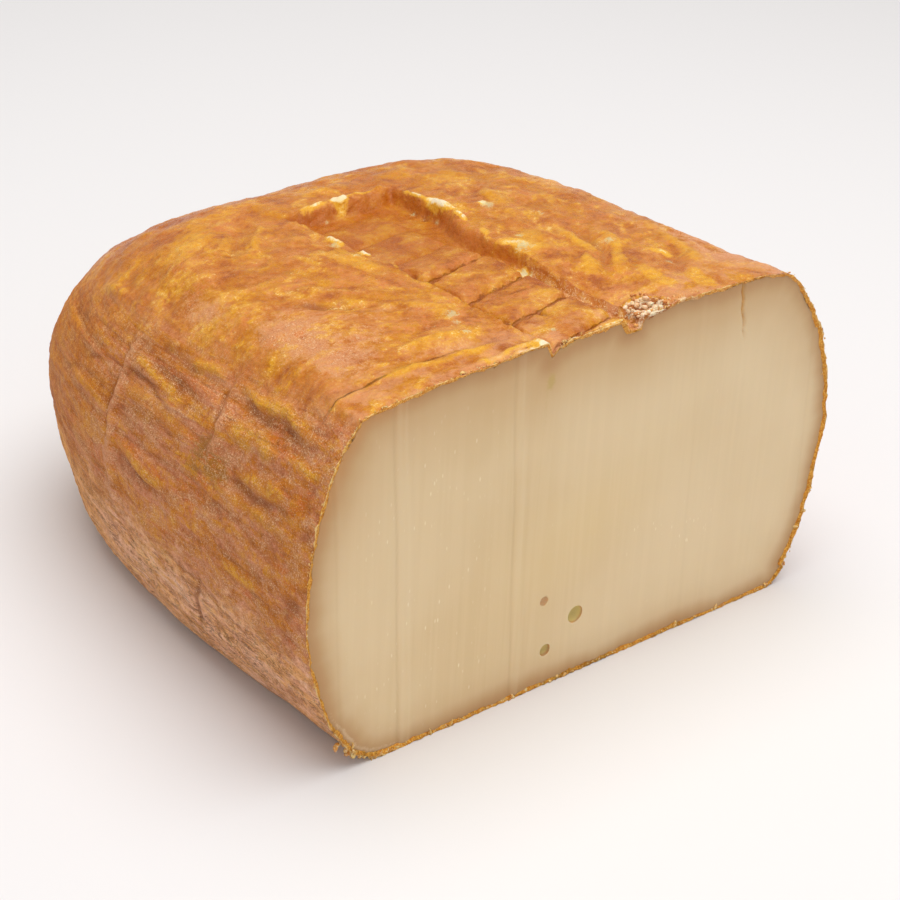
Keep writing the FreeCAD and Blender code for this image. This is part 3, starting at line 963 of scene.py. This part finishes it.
# The rind: five tones from dark to light of each wax, then the coats laid over them
TONE_PLACES = (0.37, 0.45, 0.5, 0.55, 0.65)
WAX_GOLD = paints((164, 84, 4), (188, 110, 6), (197, 123, 8), (206, 134, 12), (220, 156, 26))
WAX_ROSE = paints((162, 80, 18), (187, 105, 26), (197, 117, 36), (206, 129, 50), (221, 155, 78))
DUSTY_GOLD = paints((148, 74, 6), (179, 98, 10), (194, 111, 14), (206, 125, 20), (223, 152, 48))
DUSTY_ROSE = paints((150, 79, 38), (184, 106, 58), (200, 122, 78), (213, 140, 100), (232, 170, 138))
FOOT_GOLD = paints((160, 94, 42), (208, 138, 72), (232, 164, 98), (245, 186, 124), (254, 216, 166))
FOOT_ROSE = paints((162, 99, 62), (212, 146, 106), (234, 172, 132), (248, 194, 160), (255, 222, 196))
OCHRE = paint(204, 122, 18)
GOLD = paint(218, 150, 24)
OCHRE_LIGHT = paint(232, 172, 44)
RUST = paint(146, 76, 30)
PIT_BROWN = paint(104, 50, 24)
EMBER = paint(204, 100, 16)
BLUSH = paint(212, 144, 98)
ROSY = paint(214, 140, 78)
SHOULDER_PINK = paint(225, 167, 134)
NEAR_PINK = paint(222, 158, 112)
# Frost: partly the rind's powdery bloom, partly painted glints
FROST_AND_GLINT = paint(238, 192, 146)
PALE = paint(246, 224, 148)
OLIVE = paint(160, 106, 28)
MOULD = paint(214, 198, 148)
MOULD_GREY = paint(150, 136, 100)
CURD = paint(242, 224, 190)
CRUMB_GAP = paint(164, 94, 40)
HAZE = paint(200, 138, 88)
# The stamped field's floor and walls: partly the wax's darker tone, partly painted shade
DEEP_WAX_AND_SHADE = paint(168, 88, 26)
WALL_WAX_AND_SHADE = paint(180, 94, 22)
GLINT = paint(250, 216, 148)
AMBER_VEIL = (0.96, 0.84, 0.3, 1.0)
FAR_VEIL = (1.0, 0.84, 0.4, 1.0)
THREAD = paint(140, 86, 58)
# Salt: partly salt crystals, partly painted glints
SALT_AND_GLINT = paint(246, 214, 172)
CURD_TONES = paints((228, 172, 112), (247, 224, 188), (252, 240, 218))
CRUMB_TONES = paints((190, 110, 44), (226, 156, 80), (242, 206, 148))
RIM_AMBER = paint(206, 128, 34)
RIM_LIGHT = paint(238, 178, 78)
# Pale rim edge: partly pale beads, partly a painted highlight
RIM_PALE_AND_HIGHLIGHT = paint(248, 220, 154)
FLAKE_TONES = paints((206, 138, 50), (236, 196, 118), (246, 226, 182))

# The paste
IVORY, IVORY_LIGHT = paints((220, 192, 147), (226, 200, 158))
IVORY_BRIGHT = paint(232, 211, 176)
IVORY_WARM = paint(228, 200, 148)
KNIFE_STREAK, KNIFE_GLINT, KNIFE_NICK = paints((238, 214, 174), (243, 224, 190), (248, 232, 200))
# Painted shade in the knife lines' grooves, and a painted highlight beside them and on their ridges
GROOVE_SHADE, GROOVE_HIGHLIGHT = paints((176, 142, 98), (240, 220, 186))
# The margin tone is partly the paste's tan edge, partly painted shade beside the rind
UPPER_TAN, BROAD_TAN, LEFT_TAN, MARGIN_TAN_AND_SHADE = paints((206, 170, 122), (200, 161, 115), (190, 150, 102),
                                                    (182, 132, 82))
AMBER_GLOW = paint(222, 154, 86)
NOTCH_STAIN = paint(188, 160, 78)
SEAM_AMBER = paint(214, 160, 78)
SMEAR = paint(238, 214, 182)
EYE_OLIVE = paint(214, 194, 126)
TABLE = paint(231, 228, 227)


# ------------------------------------------------------------------ finishes

def waxed(finish, hue, tone, rosy, golden):
    """A wax between a rosy and a golden ramp of five tones, closest together in their middle."""
    ramps = [finish.ramp(tone, *zip(TONE_PLACES, colours)) for colours in (rosy, golden)]
    return finish.blend(hue, *ramps)


def step_gap(finish):
    """Distance, in millimetres, from the nearest joint between the bars of the stamp."""
    share = finish.mask("bar_step").math("FRACT", finish.mask("bar_step"))
    return share.least(1 - share) * BAR_PITCH


def rind_finish():
    """Waxy washed rind: two waxes by height, coats of colour with painted glints and painted shade among
    them, then the crumb and the rim.
    """
    finish = Finish("waxy_rind", Specular_IOR_Level=0.22, Subsurface_Weight=0.05, Subsurface_Scale=0.002,
                    Subsurface_Radius=(1.0, 0.45, 0.2))
    place = finish.place()
    top, rim, crumb, mark, powder, channel, still, joint, wall = finish.masks(
        "top", "rim", "crumb", "mark", "powder", "channel", "still", "joint", "wall")
    ochre, rust, blush, pale, olive, mould = finish.masks(*TONES)
    pale, mould = pale * (1 - wall * 0.85), mould * (1 - wall * 0.85)
    wrinkle = finish.mask("wrinkle")
    over, round_it = finish.flow("flow_top"), finish.flow("flow_flank")

    patches, patch_hue, patch_bloom = finish.noises(place, 0.13, 4.0, 0.62, 0.3)
    mottle, mottle_hue, mottle_bloom = finish.noises(place, 0.5, 4.0, 0.65)
    dust, dust_hue, dust_bloom = finish.noises(place, 1.9, 3.0, 0.65)
    streak_top, hue_top, _ = finish.noises(over.stretched((0.3, 0.09, 0.3)), 1.0, 3.0, 0.55, 0.5)
    streak_flank, hue_flank, bloom_flank = finish.noises(
        round_it.stretched((0.36, 0.12, 0.0)), 1.0, 4.0, 0.62, 0.9)
    bands, band_hue, band_bloom = finish.noises(round_it.stretched((0.17, 0.055, 0.0)), 1.0, 3.0, 0.6, 0.6)
    side = 1 - top
    calm = streak_top * (1 - still) + patches * still
    calm_hue = hue_top * (1 - still) + patch_hue * still
    x, y, z = finish.parts(place)
    foot = 1 - (z + (patches - 0.5) * 30).rise(26.0, 42.0)
    curl = finish.noise(round_it.stretched((0.42, 0.13, 0.0)), 1.0, 2.0, 0.5, 2.2) - 0.5
    thread = (1 - (curl * curl * 900).least(1.0)) * patches.rise(0.4, 0.55) * side * (0.15 + foot * 0.85)

    wax_tone = calm * 0.44 + mottle * 0.28 + patches * 0.28
    wax_hue = (calm_hue * 0.45 + patch_hue * 0.25 + mottle_hue * 0.3).rise(0.44, 0.56)
    wax = waxed(finish, wax_hue, wax_tone, WAX_ROSE, WAX_GOLD)
    side_tone = dust * 0.2 + mottle * 0.32 + streak_flank * 0.24 + bands * 0.24
    side_hue = (band_hue * 0.4 + hue_flank * 0.35 + mottle_hue * 0.25).rise(0.45, 0.55)
    dusty = waxed(finish, side_hue, side_tone, DUSTY_ROSE, DUSTY_GOLD)
    paler = waxed(finish, side_hue, side_tone, FOOT_ROSE, FOOT_GOLD)
    bloom = (bloom_flank * 0.35 + mottle_bloom * 0.3 + patch_bloom * 0.35).rise(0.47, 0.56)
    dusty = finish.blend(bloom * 0.45, dusty, HAZE)
    finish.colour = finish.blend(top, finish.blend(foot, dusty, paler), wax)

    ragged = mottle * 0.6 + patches * 0.7 - 0.65
    grainy = ragged + (dust - 0.5) * 0.5
    strip = bands * side + calm * top
    wild_ochre = strip.rise(0.52, 0.6) * mottle.rise(0.4, 0.56) * (0.85 - foot * 0.7)
    wild_rust = (1 - strip).rise(0.54, 0.64) * mottle.rise(0.42, 0.6) * (0.7 - foot * 0.4 - top * 0.45)
    wild_ember = (band_bloom * side + patch_bloom * top).rise(0.56, 0.64) * mottle_bloom.rise(0.42, 0.58)
    finish.coat((blush * 0.75 + grainy * 2.2).rise(0.2, 0.75) * 0.75 * blush.rise(0.0, 0.3), BLUSH)
    finish.coat((olive + grainy * 1.8).rise(0.3, 0.7) * 0.8, OLIVE)
    gilt = ochre * (1.1 + top * 0.3) + ragged * 1.3
    finish.coat(gilt.rise(0.2, 0.6).most(wild_ochre) * (0.8 - top * 0.15), finish.blend(top, OCHRE, GOLD))
    bright = (gilt.rise(0.5, 0.95)).most(wild_ochre * 0.6) * mottle_hue.rise(0.4, 0.56)
    finish.coat(bright * 0.56, OCHRE_LIGHT)
    rosy = (patch_bloom * 0.5 + mottle_bloom * 0.5).rise(0.52, 0.6) * top * (1 - gilt.rise(0.2, 0.5))
    finish.coat(rosy * 0.5, ROSY)
    deep = (rust + grainy * 1.0).rise(0.25, 0.9).most(wild_rust * 0.6)
    finish.coat(deep * 0.7, RUST)
    finish.coat(rust.rise(1.0, 1.25) * 0.8, PIT_BROWN)
    finish.coat(wild_ember * (1 - foot) * (0.6 - top * 0.25), EMBER)
    finish.coat(wrinkle.rise(0.2, 1.1) * 0.4 * (1 - foot * 0.6), OCHRE_LIGHT)
    finish.coat((0 - wrinkle).rise(0.15, 1.1) * 0.35, RUST)
    finish.coat(thread * 0.75, THREAD)
    sand, sand_dark, _ = finish.noises(place, 3.4, 1.0, 0.5)
    finish.coat(sand_dark.rise(0.58, 0.7) * (powder * 0.35 + 0.1), RUST)
    # Fine light specks over the powder: partly salt crystals, partly painted glints.
    finish.coat(sand.rise(0.6, 0.7) * (powder * (0.25 + bloom * 0.4) + 0.12), SALT_AND_GLINT)
    # Pale frost specks over the powder: partly the rind's powdery bloom, partly painted glints.
    frost_and_glint = dust_bloom.rise(0.5, 0.68) * (0.15 + bloom * 0.85) * (powder * 0.6 + 0.06)
    finish.coat(frost_and_glint, FROST_AND_GLINT)
    glint = (dust_hue + (calm + mottle - 1.0) * 0.6).rise(0.66, 0.76) * (top * 0.45 + 0.15)
    finish.coat(glint, GLINT)
    # Darker brown over the stamped field's floor, most at its deep far end, and on its walls: partly the
    # wax, partly painted shade.
    finish.coat(mark * 0.5, DEEP_WAX_AND_SHADE)
    finish.coat(wall * 0.75, WALL_WAX_AND_SHADE)
    between = joint * (1 - (step_gap(finish) - (mottle - 0.46) * 2).rise(0.1, 0.7))
    finish.coat(between * 0.75, RUST)
    finish.coat((pale + ragged * 1.2).rise(0.15, 0.5) * 0.85, OCHRE_LIGHT)
    crust = finish.blend((mottle * 0.5 + dust * 0.3 + pale * 0.16).rise(0.46, 0.6), PALE, CURD)
    finish.coat((pale + ragged * 2.4).rise(0.55, 1.0) * 0.95, crust)
    finish.coat((mould * 0.8 + grainy * 2.2).rise(0.35, 0.8) * 0.7 * mould.rise(0.0, 0.2), MOULD)
    finish.coat((mould + (dust - 0.5) * 2).rise(0.7, 1.0) * 0.35, MOULD_GREY)

    right = x.rise(48.0, 78.0) * (patches * 0.6 + mottle * 0.4).rise(0.42, 0.52)
    finish.coat(right * 0.75, SHOULDER_PINK)
    near = (1 - y.rise(CUT_Y + 3, CUT_Y + 26)) * top * patch_bloom.rise(0.42, 0.54)
    near = near * (1 - gilt.rise(0.3, 0.7))
    finish.coat(near * 0.45, NEAR_PINK)
    finish.coat(y.rise(0.0, 70.0) * 0.8, AMBER_VEIL, "MULTIPLY")
    finish.coat(y.rise(0.0, 80.0) * 0.5, FAR_VEIL, "MULTIPLY")

    # Small pale grains and the channel's specks: partly salt crystals, partly painted glints.
    salt_and_glint_cells = finish.cells(place, 0.95)
    grains_and_glints = (1 - salt_and_glint_cells.rise(0.08, 0.22)) * (finish.cells(place, 0.95, "Color").rise(0.6, 0.64))
    dense = powder * mottle_bloom.rise(0.42, 0.58) * (0.4 + top * 0.6) + channel * 0.9 + 0.05
    finish.coat(sand.rise(0.53, 0.62) * channel * mottle.rise(0.42, 0.55) * 0.7, SALT_AND_GLINT)
    finish.coat(grains_and_glints * dense.least(1.0) * 0.8, SALT_AND_GLINT)
    finish.coat(crumb * 0.9, finish.blend(mottle.rise(0.46, 0.58), CRUMB_GAP, CURD))

    edge = finish.blend(dust.rise(0.4, 0.62), RIM_AMBER, RIM_LIGHT)
    # Pale line along the rim's outer edge, weaker along its inner edge: partly pale beads, partly a painted
    # highlight.
    lips = (1 - (rim - 0.5).rise(0.0, 0.22)).most(rim.rise(0.96, 1.0) * 0.3)
    edge = finish.blend(lips * mottle.rise(0.42, 0.56) * 0.8, edge, RIM_PALE_AND_HIGHLIGHT)
    finish.coat(rim.rise(0.35, 0.5) * (1 - crumb * 0.9), edge)

    finish.feed("Base Color", finish.colour)
    finish.feed("Roughness", 0.2 + powder * 0.36 + dust * 0.14 + crumb * 0.3 - channel * 0.2)
    finish.bump(dust * (0.35 + powder * 0.4) + mottle * 1.3 + streak_flank * side * 1.3 + bands * side * 2.4
                + calm * top * 1.4 + grains_and_glints * 0.3 - thread * 0.9 - between * 1.2, 0.5, 0.9)
    return finish.material


def paste_finish():
    """Pale paste with knife lines and nicks, darker towards the rind with painted shade just beside it,
    painted shade and highlights along the knife lines, and olive inside the eyes.
    """
    finish = Finish("ivory_paste", Specular_IOR_Level=0.35, Subsurface_Weight=0.25, Subsurface_Scale=0.006,
                    Subsurface_Radius=(1.0, 0.7, 0.4))
    place = finish.place()
    edge, glow, film, stain, seam, groove, warm, upper, nicks = finish.masks(
        "edge", "glow", "film", "stain", "seam", "groove", "warm", "upper", "nicks")
    broad = finish.noise(place, 0.022, 3.0)
    lines = finish.noise(place.stretched((0.4, 1.0, 0.01)), 1.0, 3.0, 0.6)
    fine = finish.noise(place.stretched((1.1, 1.0, 0.45)), 1.0, 3.0, 0.6)
    dust = finish.noise(place, 1.4, 3.0, 0.65)
    finish.colour = finish.blend(broad.rise(0.35, 0.65), IVORY, IVORY_LIGHT)
    across, back, up = finish.parts(place)
    finish.coat(across.rise(-30.0, 50.0) * 0.35, IVORY_BRIGHT)
    finish.coat(warm * 0.5, IVORY_WARM)
    finish.coat(lines.rise(0.42, 0.62) * 0.14, KNIFE_STREAK)
    nick = finish.cells(place.stretched((0.9, 0.1, 0.3)), 1.0)
    chance = finish.cells(place.stretched((0.9, 0.1, 0.3)), 1.0, "Color").rise(0.45, 0.5)
    finish.coat((1 - nick.rise(0.14, 0.3)) * chance * nicks * 0.9, KNIFE_NICK)
    finish.coat(fine.rise(0.66, 0.8) * 0.2, KNIFE_GLINT)
    ring = (1 - edge) * EDGE_REACH + (broad - 0.5) * 6
    finish.coat(((1 - ring.rise(0.0, 30.0)) * upper).most(0.0) * 0.8, UPPER_TAN)
    finish.coat((1 - ring.rise(-1.0, 13.0)) * (0.45 + upper * 0.2), BROAD_TAN)
    leftward = 1 - across.rise(-80.0, -54.0)
    finish.coat(leftward * (1 - ring.rise(0.0, 11.0)) * 0.4, LEFT_TAN)
    # Darker brown within a few millimetres of the rind: partly the paste's tan edge, partly painted shade
    # beside the rind.
    finish.coat((1 - ring.rise(-0.5, 6.0)) * 0.75, MARGIN_TAN_AND_SHADE)
    finish.coat(glow * 0.5, AMBER_GLOW)
    # Painted shade in the knife lines' grooves, and a painted highlight beside them and along the ridges.
    finish.coat(groove.most(0.0) * 0.4, GROOVE_SHADE)
    finish.coat((0 - groove).most(0.0) * 0.5, GROOVE_HIGHLIGHT)
    finish.coat((stain + (dust - 0.5) * 0.8).rise(0.2, 0.9) * 0.5, NOTCH_STAIN)
    finish.coat((seam + (dust - 0.5) * 0.5).rise(0.3, 0.8) * 0.6, SEAM_AMBER)
    finish.coat((film + (dust - 0.5) * 1.4).rise(0.5, 1.1) * 0.3, SMEAR)
    behind = back - (CUT_Y + FRONT_GAP)
    finish.coat(behind.rise(0.3, 1.0) * (1 - up.rise(30.0, 34.0)), EYE_OLIVE)
    finish.feed("Base Color", finish.colour)
    finish.feed("Roughness", 0.5 + fine * 0.14)
    finish.bump(lines * 0.4 + fine * 0.3 + dust * film, 0.12, 0.5)
    return finish.material


def crumb_finish(name, dark, light, pale):
    """Finish of small broken bits, each with its own tone."""
    finish = Finish(name, Specular_IOR_Level=0.4, Subsurface_Weight=0.15, Subsurface_Scale=0.001)
    place = finish.place()
    mottle = finish.noise(place, 2.2, 3.0)
    finish.colour = finish.blend(finish.mask("tone"), dark, light)
    finish.coat(mottle.rise(0.48, 0.68) * 0.65, pale)
    finish.feed("Base Color", finish.colour)
    finish.feed("Roughness", 0.42 + mottle * 0.25)
    finish.bump(mottle, 0.2)
    return finish.material


# ------------------------------------------------------------------ geometry trees

class Tree(Bench):
    """A geometry tree with named inputs, applied to an object and made a plain mesh."""

    def __init__(self, name, **sizes):
        super().__init__(bpy.data.node_groups.new(name, "GeometryNodeTree"))
        face = self.tree.interface
        face.new_socket("Geometry", in_out="INPUT", socket_type="NodeSocketGeometry")
        face.new_socket("Geometry", in_out="OUTPUT", socket_type="NodeSocketGeometry")
        kinds = {int: "NodeSocketInt", float: "NodeSocketFloat", bpy.types.Material: "NodeSocketMaterial"}
        for label, value in sizes.items():
            face.new_socket(label, in_out="INPUT", socket_type=kinds[type(value)])
        self.sizes = sizes
        self.entry = self.tree.nodes.new("NodeGroupInput")
        self.exit = self.tree.nodes.new("NodeGroupOutput")

    def given(self, label):
        return Wire(self, self.entry.outputs[label])

    def field(self, name, kind="FLOAT"):
        return self.add("GeometryNodeInputNamedAttribute", {"data_type": kind}, {"Name": name}, "Attribute")

    def store(self, geometry, name, wire, domain="POINT"):
        return self.add("GeometryNodeStoreNamedAttribute", {"data_type": "FLOAT", "domain": domain},
                        {"Geometry": geometry, "Name": name, "Value": wire})

    def vector(self, *parts):
        return self.add("ShaderNodeCombineXYZ", {}, dict(enumerate(parts)))

    def chance(self, seed):
        """A number from 0 to 1 for each bit."""
        return self.add("FunctionNodeRandomValue", {"data_type": "FLOAT"}, {"Seed": seed}, 1)

    def close(self, geometry):
        """End the tree: realize what is instanced and give it its material."""
        real = self.add("GeometryNodeRealizeInstances", {}, {0: geometry})
        dressed = self.add("GeometryNodeSetMaterial", {}, {
            "Geometry": real, "Material": self.given("finish")})
        self.tree.links.new(dressed.socket, self.exit.inputs[0])

    def apply(self, thing):
        """Run the tree on the object and leave a plain mesh."""
        modifier = thing.modifiers.new(self.tree.name, "NODES")
        modifier.node_group = self.tree
        for item in self.tree.interface.items_tree:
            if item.in_out == "INPUT" and item.name in self.sizes:
                modifier[item.identifier] = self.sizes[item.name]
        return baked(thing)


def wrinkled(thing, finish):
    """Wrinkles, lumps and grain pressed into the loose skin, kept as a mask for the finish."""
    tree = Tree("rind_wrinkles", finish=finish, pleat=0.38, lump=0.65, pimple=0.32, grain=0.16)
    place = tree.add("GeometryNodeInputPosition").stretched((1 / MM,) * 3)
    top, loose, rim, mark, still = (tree.field(name) for name in ("top", "loose", "rim", "mark", "still"))
    over, round_it = (tree.field(name, "FLOAT_VECTOR") for name in ("flow_top", "flow_flank"))
    over = tree.noise(over.stretched((0.3, 0.06, 0.3)), 1.0, 3.0, 0.55, 0.5)
    round_it = tree.noise(round_it.stretched((0.27, 0.05, 0.0)), 1.0, 3.0, 0.55, 0.8)
    pimples = tree.noise(place, 0.2, 2.0, 0.5, 0.3) * 4 - 2
    pleats = ((over * top + round_it * (1 - top)) * 4 - 2) * (1 - still)
    lumps = tree.noise(place, 0.055, 2.0) * 3 - 1.5
    grain = tree.noise(place, 0.62, 2.0, 0.6) * 2 - 1
    fine = pleats * tree.given("pleat") + pimples * tree.given("pimple") * (0.5 + top * 0.5)
    relief = fine * (1 - mark * 0.6) + lumps * tree.given("lump") + grain * tree.given("grain")
    relief = relief.least(1.1).most(-1.3) * loose * MM
    ahead = tree.vector(relief, relief * (1 - rim.rise(0.2, 0.4)), relief)
    offset = tree.add("GeometryNodeInputNormal").stretched(ahead)
    kept = tree.store(tree.given("Geometry"), "wrinkle", pleats * 0.6 + pimples * 0.6)
    moved = tree.add("GeometryNodeSetPosition", {}, {"Geometry": kept, "Offset": offset})
    reached = tree.add("GeometryNodeInputPosition")
    for operation, corner in (("MAXIMUM", cad_low), ("MINIMUM", cad_high)):
        reached = tree.add("ShaderNodeVectorMath", {"operation": operation}, {0: reached, 1: tuple(corner)})
    tree.close(tree.add("GeometryNodeSetPosition", {}, {"Geometry": moved, "Position": reached}))
    return tree.apply(thing)


def scattered(thing, finish, **sizes):
    """Small broken bits on the object's points, each turned, sized and toned by chance.

    A bit is a ball, squashed to a flatness, roughened and curled along its length.
    """
    tree = Tree(thing.name, finish=finish, **sizes)
    seed = sizes["seed"]
    ball = tree.add("GeometryNodeMeshUVSphere", {}, {
        "Segments": BIT_SEGMENTS, "Rings": BIT_RINGS, "Radius": 1.0})
    place = tree.add("GeometryNodeInputPosition")
    shape = tree.add("ShaderNodeVectorMath", {"operation": "SCALE"},
                     {0: place, "Scale": tree.noise(place, 1.3, 2.0, 0.6) * 1.7 - 0.1})
    squashed = shape.stretched(tree.vector(1.0, 0.7, tree.given("flatness")))
    along, across, up = tree.parts(squashed)
    curled = tree.vector(along, across, up + along * along * tree.given("curl"))
    broken = tree.add("GeometryNodeSetPosition", {}, {"Geometry": ball, "Position": curled})
    spread = tree.given("largest") - tree.given("smallest")
    size = tree.given("smallest") + spread * tree.chance(seed) ** 2.4
    turn = tree.add("FunctionNodeRandomValue", {"data_type": "FLOAT_VECTOR"},
                    {0: (0.0, 0.0, 0.0), 1: (6.283, 6.283, 6.283), "Seed": seed + 1})
    bits = tree.add("GeometryNodeInstanceOnPoints", {}, {
        "Points": tree.given("Geometry"), "Instance": broken, "Rotation": turn, "Scale": size * MM})
    tree.close(tree.store(bits, "tone", tree.chance(seed + 2), "INSTANCE"))
    return tree.apply(thing)


# ------------------------------------------------------------------ pieces

def cutters():
    """Balls that take the eyes out of the paste, joined in one object."""
    mesh = bpy.data.meshes.new("eye_shapes")
    form = bmesh.new()
    for x, z, width, depth in EYES:
        radius = (width ** 2 / 4 + depth ** 2) / (2 * depth)
        centre = Vector((x + MIDDLE_X, CUT_Y + FRONT_GAP + depth - radius, z)) * MM
        bmesh.ops.create_uvsphere(form, u_segments=EYE_SEGMENTS, v_segments=EYE_RINGS, radius=radius * MM,
                                  matrix=Matrix.Translation(centre) @ Matrix.Rotation(math.pi / 2, 4, "X"))
    form.to_mesh(mesh)
    form.free()
    return linked("eye_shapes", mesh)


def carve(thing, tool):
    """Take the tool's shape out of the piece and drop the tool."""
    modifier = thing.modifiers.new("carve", "BOOLEAN")
    modifier.operation, modifier.object, modifier.solver = "DIFFERENCE", tool, "EXACT"
    baked(thing)
    bpy.data.objects.remove(tool)


def finished(thing):
    """The piece on the fixed body."""
    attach(thing, "root")
    return thing


def make_cheese():
    """The rind and the paste, then the bits on them."""
    points, faces, underside, masks, rim = skin()
    shell, shell_faces, shell_masks, thickness = rind_mesh(points, faces, underside, masks, rim)
    rind = wrinkled(mesh_from("rind", shell, shell_faces, shell_masks), rind_finish())
    paste = mesh_from("paste", *paste_mesh(points, rim, thickness))
    carve(paste, cutters())
    paste.data.set_sharp_from_angle(angle=SHARP_EDGE)
    paste.data.materials.clear()
    paste.data.materials.append(paste_finish())
    make_flakes(points, rim)
    make_curds(points, masks)
    finished(rind)
    finished(paste)
    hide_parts("toma_half")


def make_flakes(points, rim):
    """Beads along the cut rim, and torn curled flakes where the knife dragged."""
    rng = np.random.default_rng(SEEDS["flakes"])
    loop = resample(points[rim], RIM_FINENESS)
    x, z = loop[:, 0], loop[:, 2]
    low = ease(-z, -22, -2)
    corner = bell(x, -66, 9) * low
    beads = loop[rng.random(len(loop)) < 0.34 + 0.25 * low]
    beads = beads + rng.normal(0, 1, beads.shape) * (0.22, 0.16, 0.22) + (0, FRONT_GAP - 0.15, 0)
    torn_share = 0.012 + 0.05 * low + 0.4 * corner + 0.3 * bell(x, -42, 4) * low
    torn_share = torn_share + 0.12 * (x > 50) * ease(-z, -34, -10) + 0.1 * bell(z, 84, 1.5) * (x < 0)
    torn = loop[rng.random(len(loop)) < torn_share]
    torn = torn + rng.normal(0, 1, torn.shape) * (0.7, 0.3, 0.5) + (0, FRONT_GAP + 0.15, 0)
    curl_share = 0.2 * bell(z, 7, 3.4) * (x < -40) + 0.14 * bell(x, -42, 3.4) * low
    curls = loop[rng.random(len(loop)) < curl_share]
    curls = curls + rng.normal(0, 1, curls.shape) * (0.6, 0.3, 0.6) + (-1.1, FRONT_GAP + 0.6, 0.2)
    for name, places, smallest, largest, flatness, curl, seed in (
            ("rim_curls", curls, 1.3, 3.2, 0.12, 0.6, 27),
            ("rim_beads", beads, 0.14, 0.5, 0.7, 0.1, 21), ("rim_flakes", torn, 0.5, 1.8, 0.2, 0.55, 24)):
        places = np.stack([places[:, 0].clip(1 - HALF_WIDTH, HALF_WIDTH - 1), places[:, 1].clip(0.5),
                           places[:, 2].clip(0.5, HEIGHT - 1)], -1)
        finish = crumb_finish(name, *FLAKE_TONES)
        bits = scattered(mesh_from(name, places, [], {}), finish, smallest=smallest, largest=largest,
                         flatness=flatness, curl=curl, seed=seed)
        finished(held_in(bits))


def make_curds(points, masks):
    """Dry curds in the crumbly hollow and along the cut beside it."""
    rng = np.random.default_rng(SEEDS["curds"])
    x, y = points[:, 0], points[:, 1]
    reach = hollow_reach(x, y)
    on_top = masks["top"] > 0.5
    nest = on_top & (reach > 0.35) & (reach < 0.95)
    ring = on_top & (reach > 0.9) & (reach < 1.2)
    strip = on_top & (y < 1.9) & (x > 11) & (x < 33)
    for name, where, share, smallest, largest, tones, slot, seed in (
            ("dry_curds", nest, 0.4, 0.5, 1.6, CURD_TONES, "paste", 31),
            ("crust_crumbs", ring | strip, 0.5, 0.25, 1.1, CRUMB_TONES, "rind", 37)):
        inside = points[where]
        picked = inside[rng.random(len(inside)) < share]
        places = picked + rng.normal(0, 1, picked.shape) * (0.4, 0.3, 0.2) + (0, 0.7, 0.1)
        places[:, 1] = places[:, 1].clip(1.4)
        bits = scattered(mesh_from(name, places, [], {}), crumb_finish(name, *tones), smallest=smallest,
                         largest=largest, flatness=0.8, curl=0.0, seed=seed)
        finished(held_in(bits))


def held_in(thing):
    """Bits pushed back inside the box where they stand out of it."""
    count = len(thing.data.vertices)
    places = np.empty(count * 3)
    thing.data.vertices.foreach_get("co", places)
    places = places.reshape(-1, 3).clip(np.array(cad_low), np.array(cad_high))
    thing.data.vertices.foreach_set("co", places.ravel())
    thing.data.update()
    return thing


# ------------------------------------------------------------------ studio

def make_floor():
    mesh = bpy.data.meshes.new("table_top")
    half = FLOOR_SIZE / 2
    corners = [(-half, -half, 0), (half, -half, 0), (half, half, 0), (-half, half, 0)]
    mesh.from_pydata(corners, [], [(0, 1, 2, 3)])
    floor = linked("table_top", mesh)
    finish = Finish("pale_table", Roughness=0.8, Specular_IOR_Level=0.2, Base_Color=TABLE)
    mesh.materials.append(finish.material)


def make_light(name, place, target, size, power):
    data = bpy.data.lights.new(name, "AREA")
    data.shape, data.size, data.energy = "DISK", size, power
    lamp = linked(name, data)
    lamp.location = place
    lamp.rotation_mode = "QUATERNION"
    lamp.rotation_quaternion = (Vector(target) - Vector(place)).to_track_quat("-Z", "Y")


def make_studio():
    make_floor()
    for name, settings in LAMPS.items():
        make_light(name, *settings)
    world = bpy.data.worlds.new("studio")
    world.use_nodes = True
    backdrop = world.node_tree.nodes["Background"]
    backdrop.inputs["Color"].default_value = (1, 1, 1, 1)
    backdrop.inputs["Strength"].default_value = SKY_STRENGTH
    bpy.context.scene.world = world


def make_camera():
    azimuth, elevation, roll = (math.radians(angle) for angle in (AZIMUTH, ELEVATION, ROLL))
    back = Vector((math.sin(azimuth) * math.cos(elevation), -math.cos(azimuth) * math.cos(elevation),
                   math.sin(elevation)))
    right = Vector((math.cos(azimuth), math.sin(azimuth), 0))
    up = back.cross(right)
    turned_right = right * math.cos(roll) + up * math.sin(roll)
    turned_up = up * math.cos(roll) - right * math.sin(roll)
    data = bpy.data.cameras.new("camera")
    data.lens, data.sensor_width = LENS, SENSOR
    camera = linked("camera", data)
    camera.rotation_mode = "QUATERNION"
    camera.rotation_quaternion = Matrix((turned_right, turned_up, back)).transposed().to_quaternion()
    camera.location = (Vector(AIM) + Vector((MIDDLE_X, CUT_Y, 0)) + back * DISTANCE) * MM
    bpy.context.scene.camera = camera


make_camera()
make_studio()
make_cheese()
bpy.context.scene.view_settings.view_transform = "Standard"
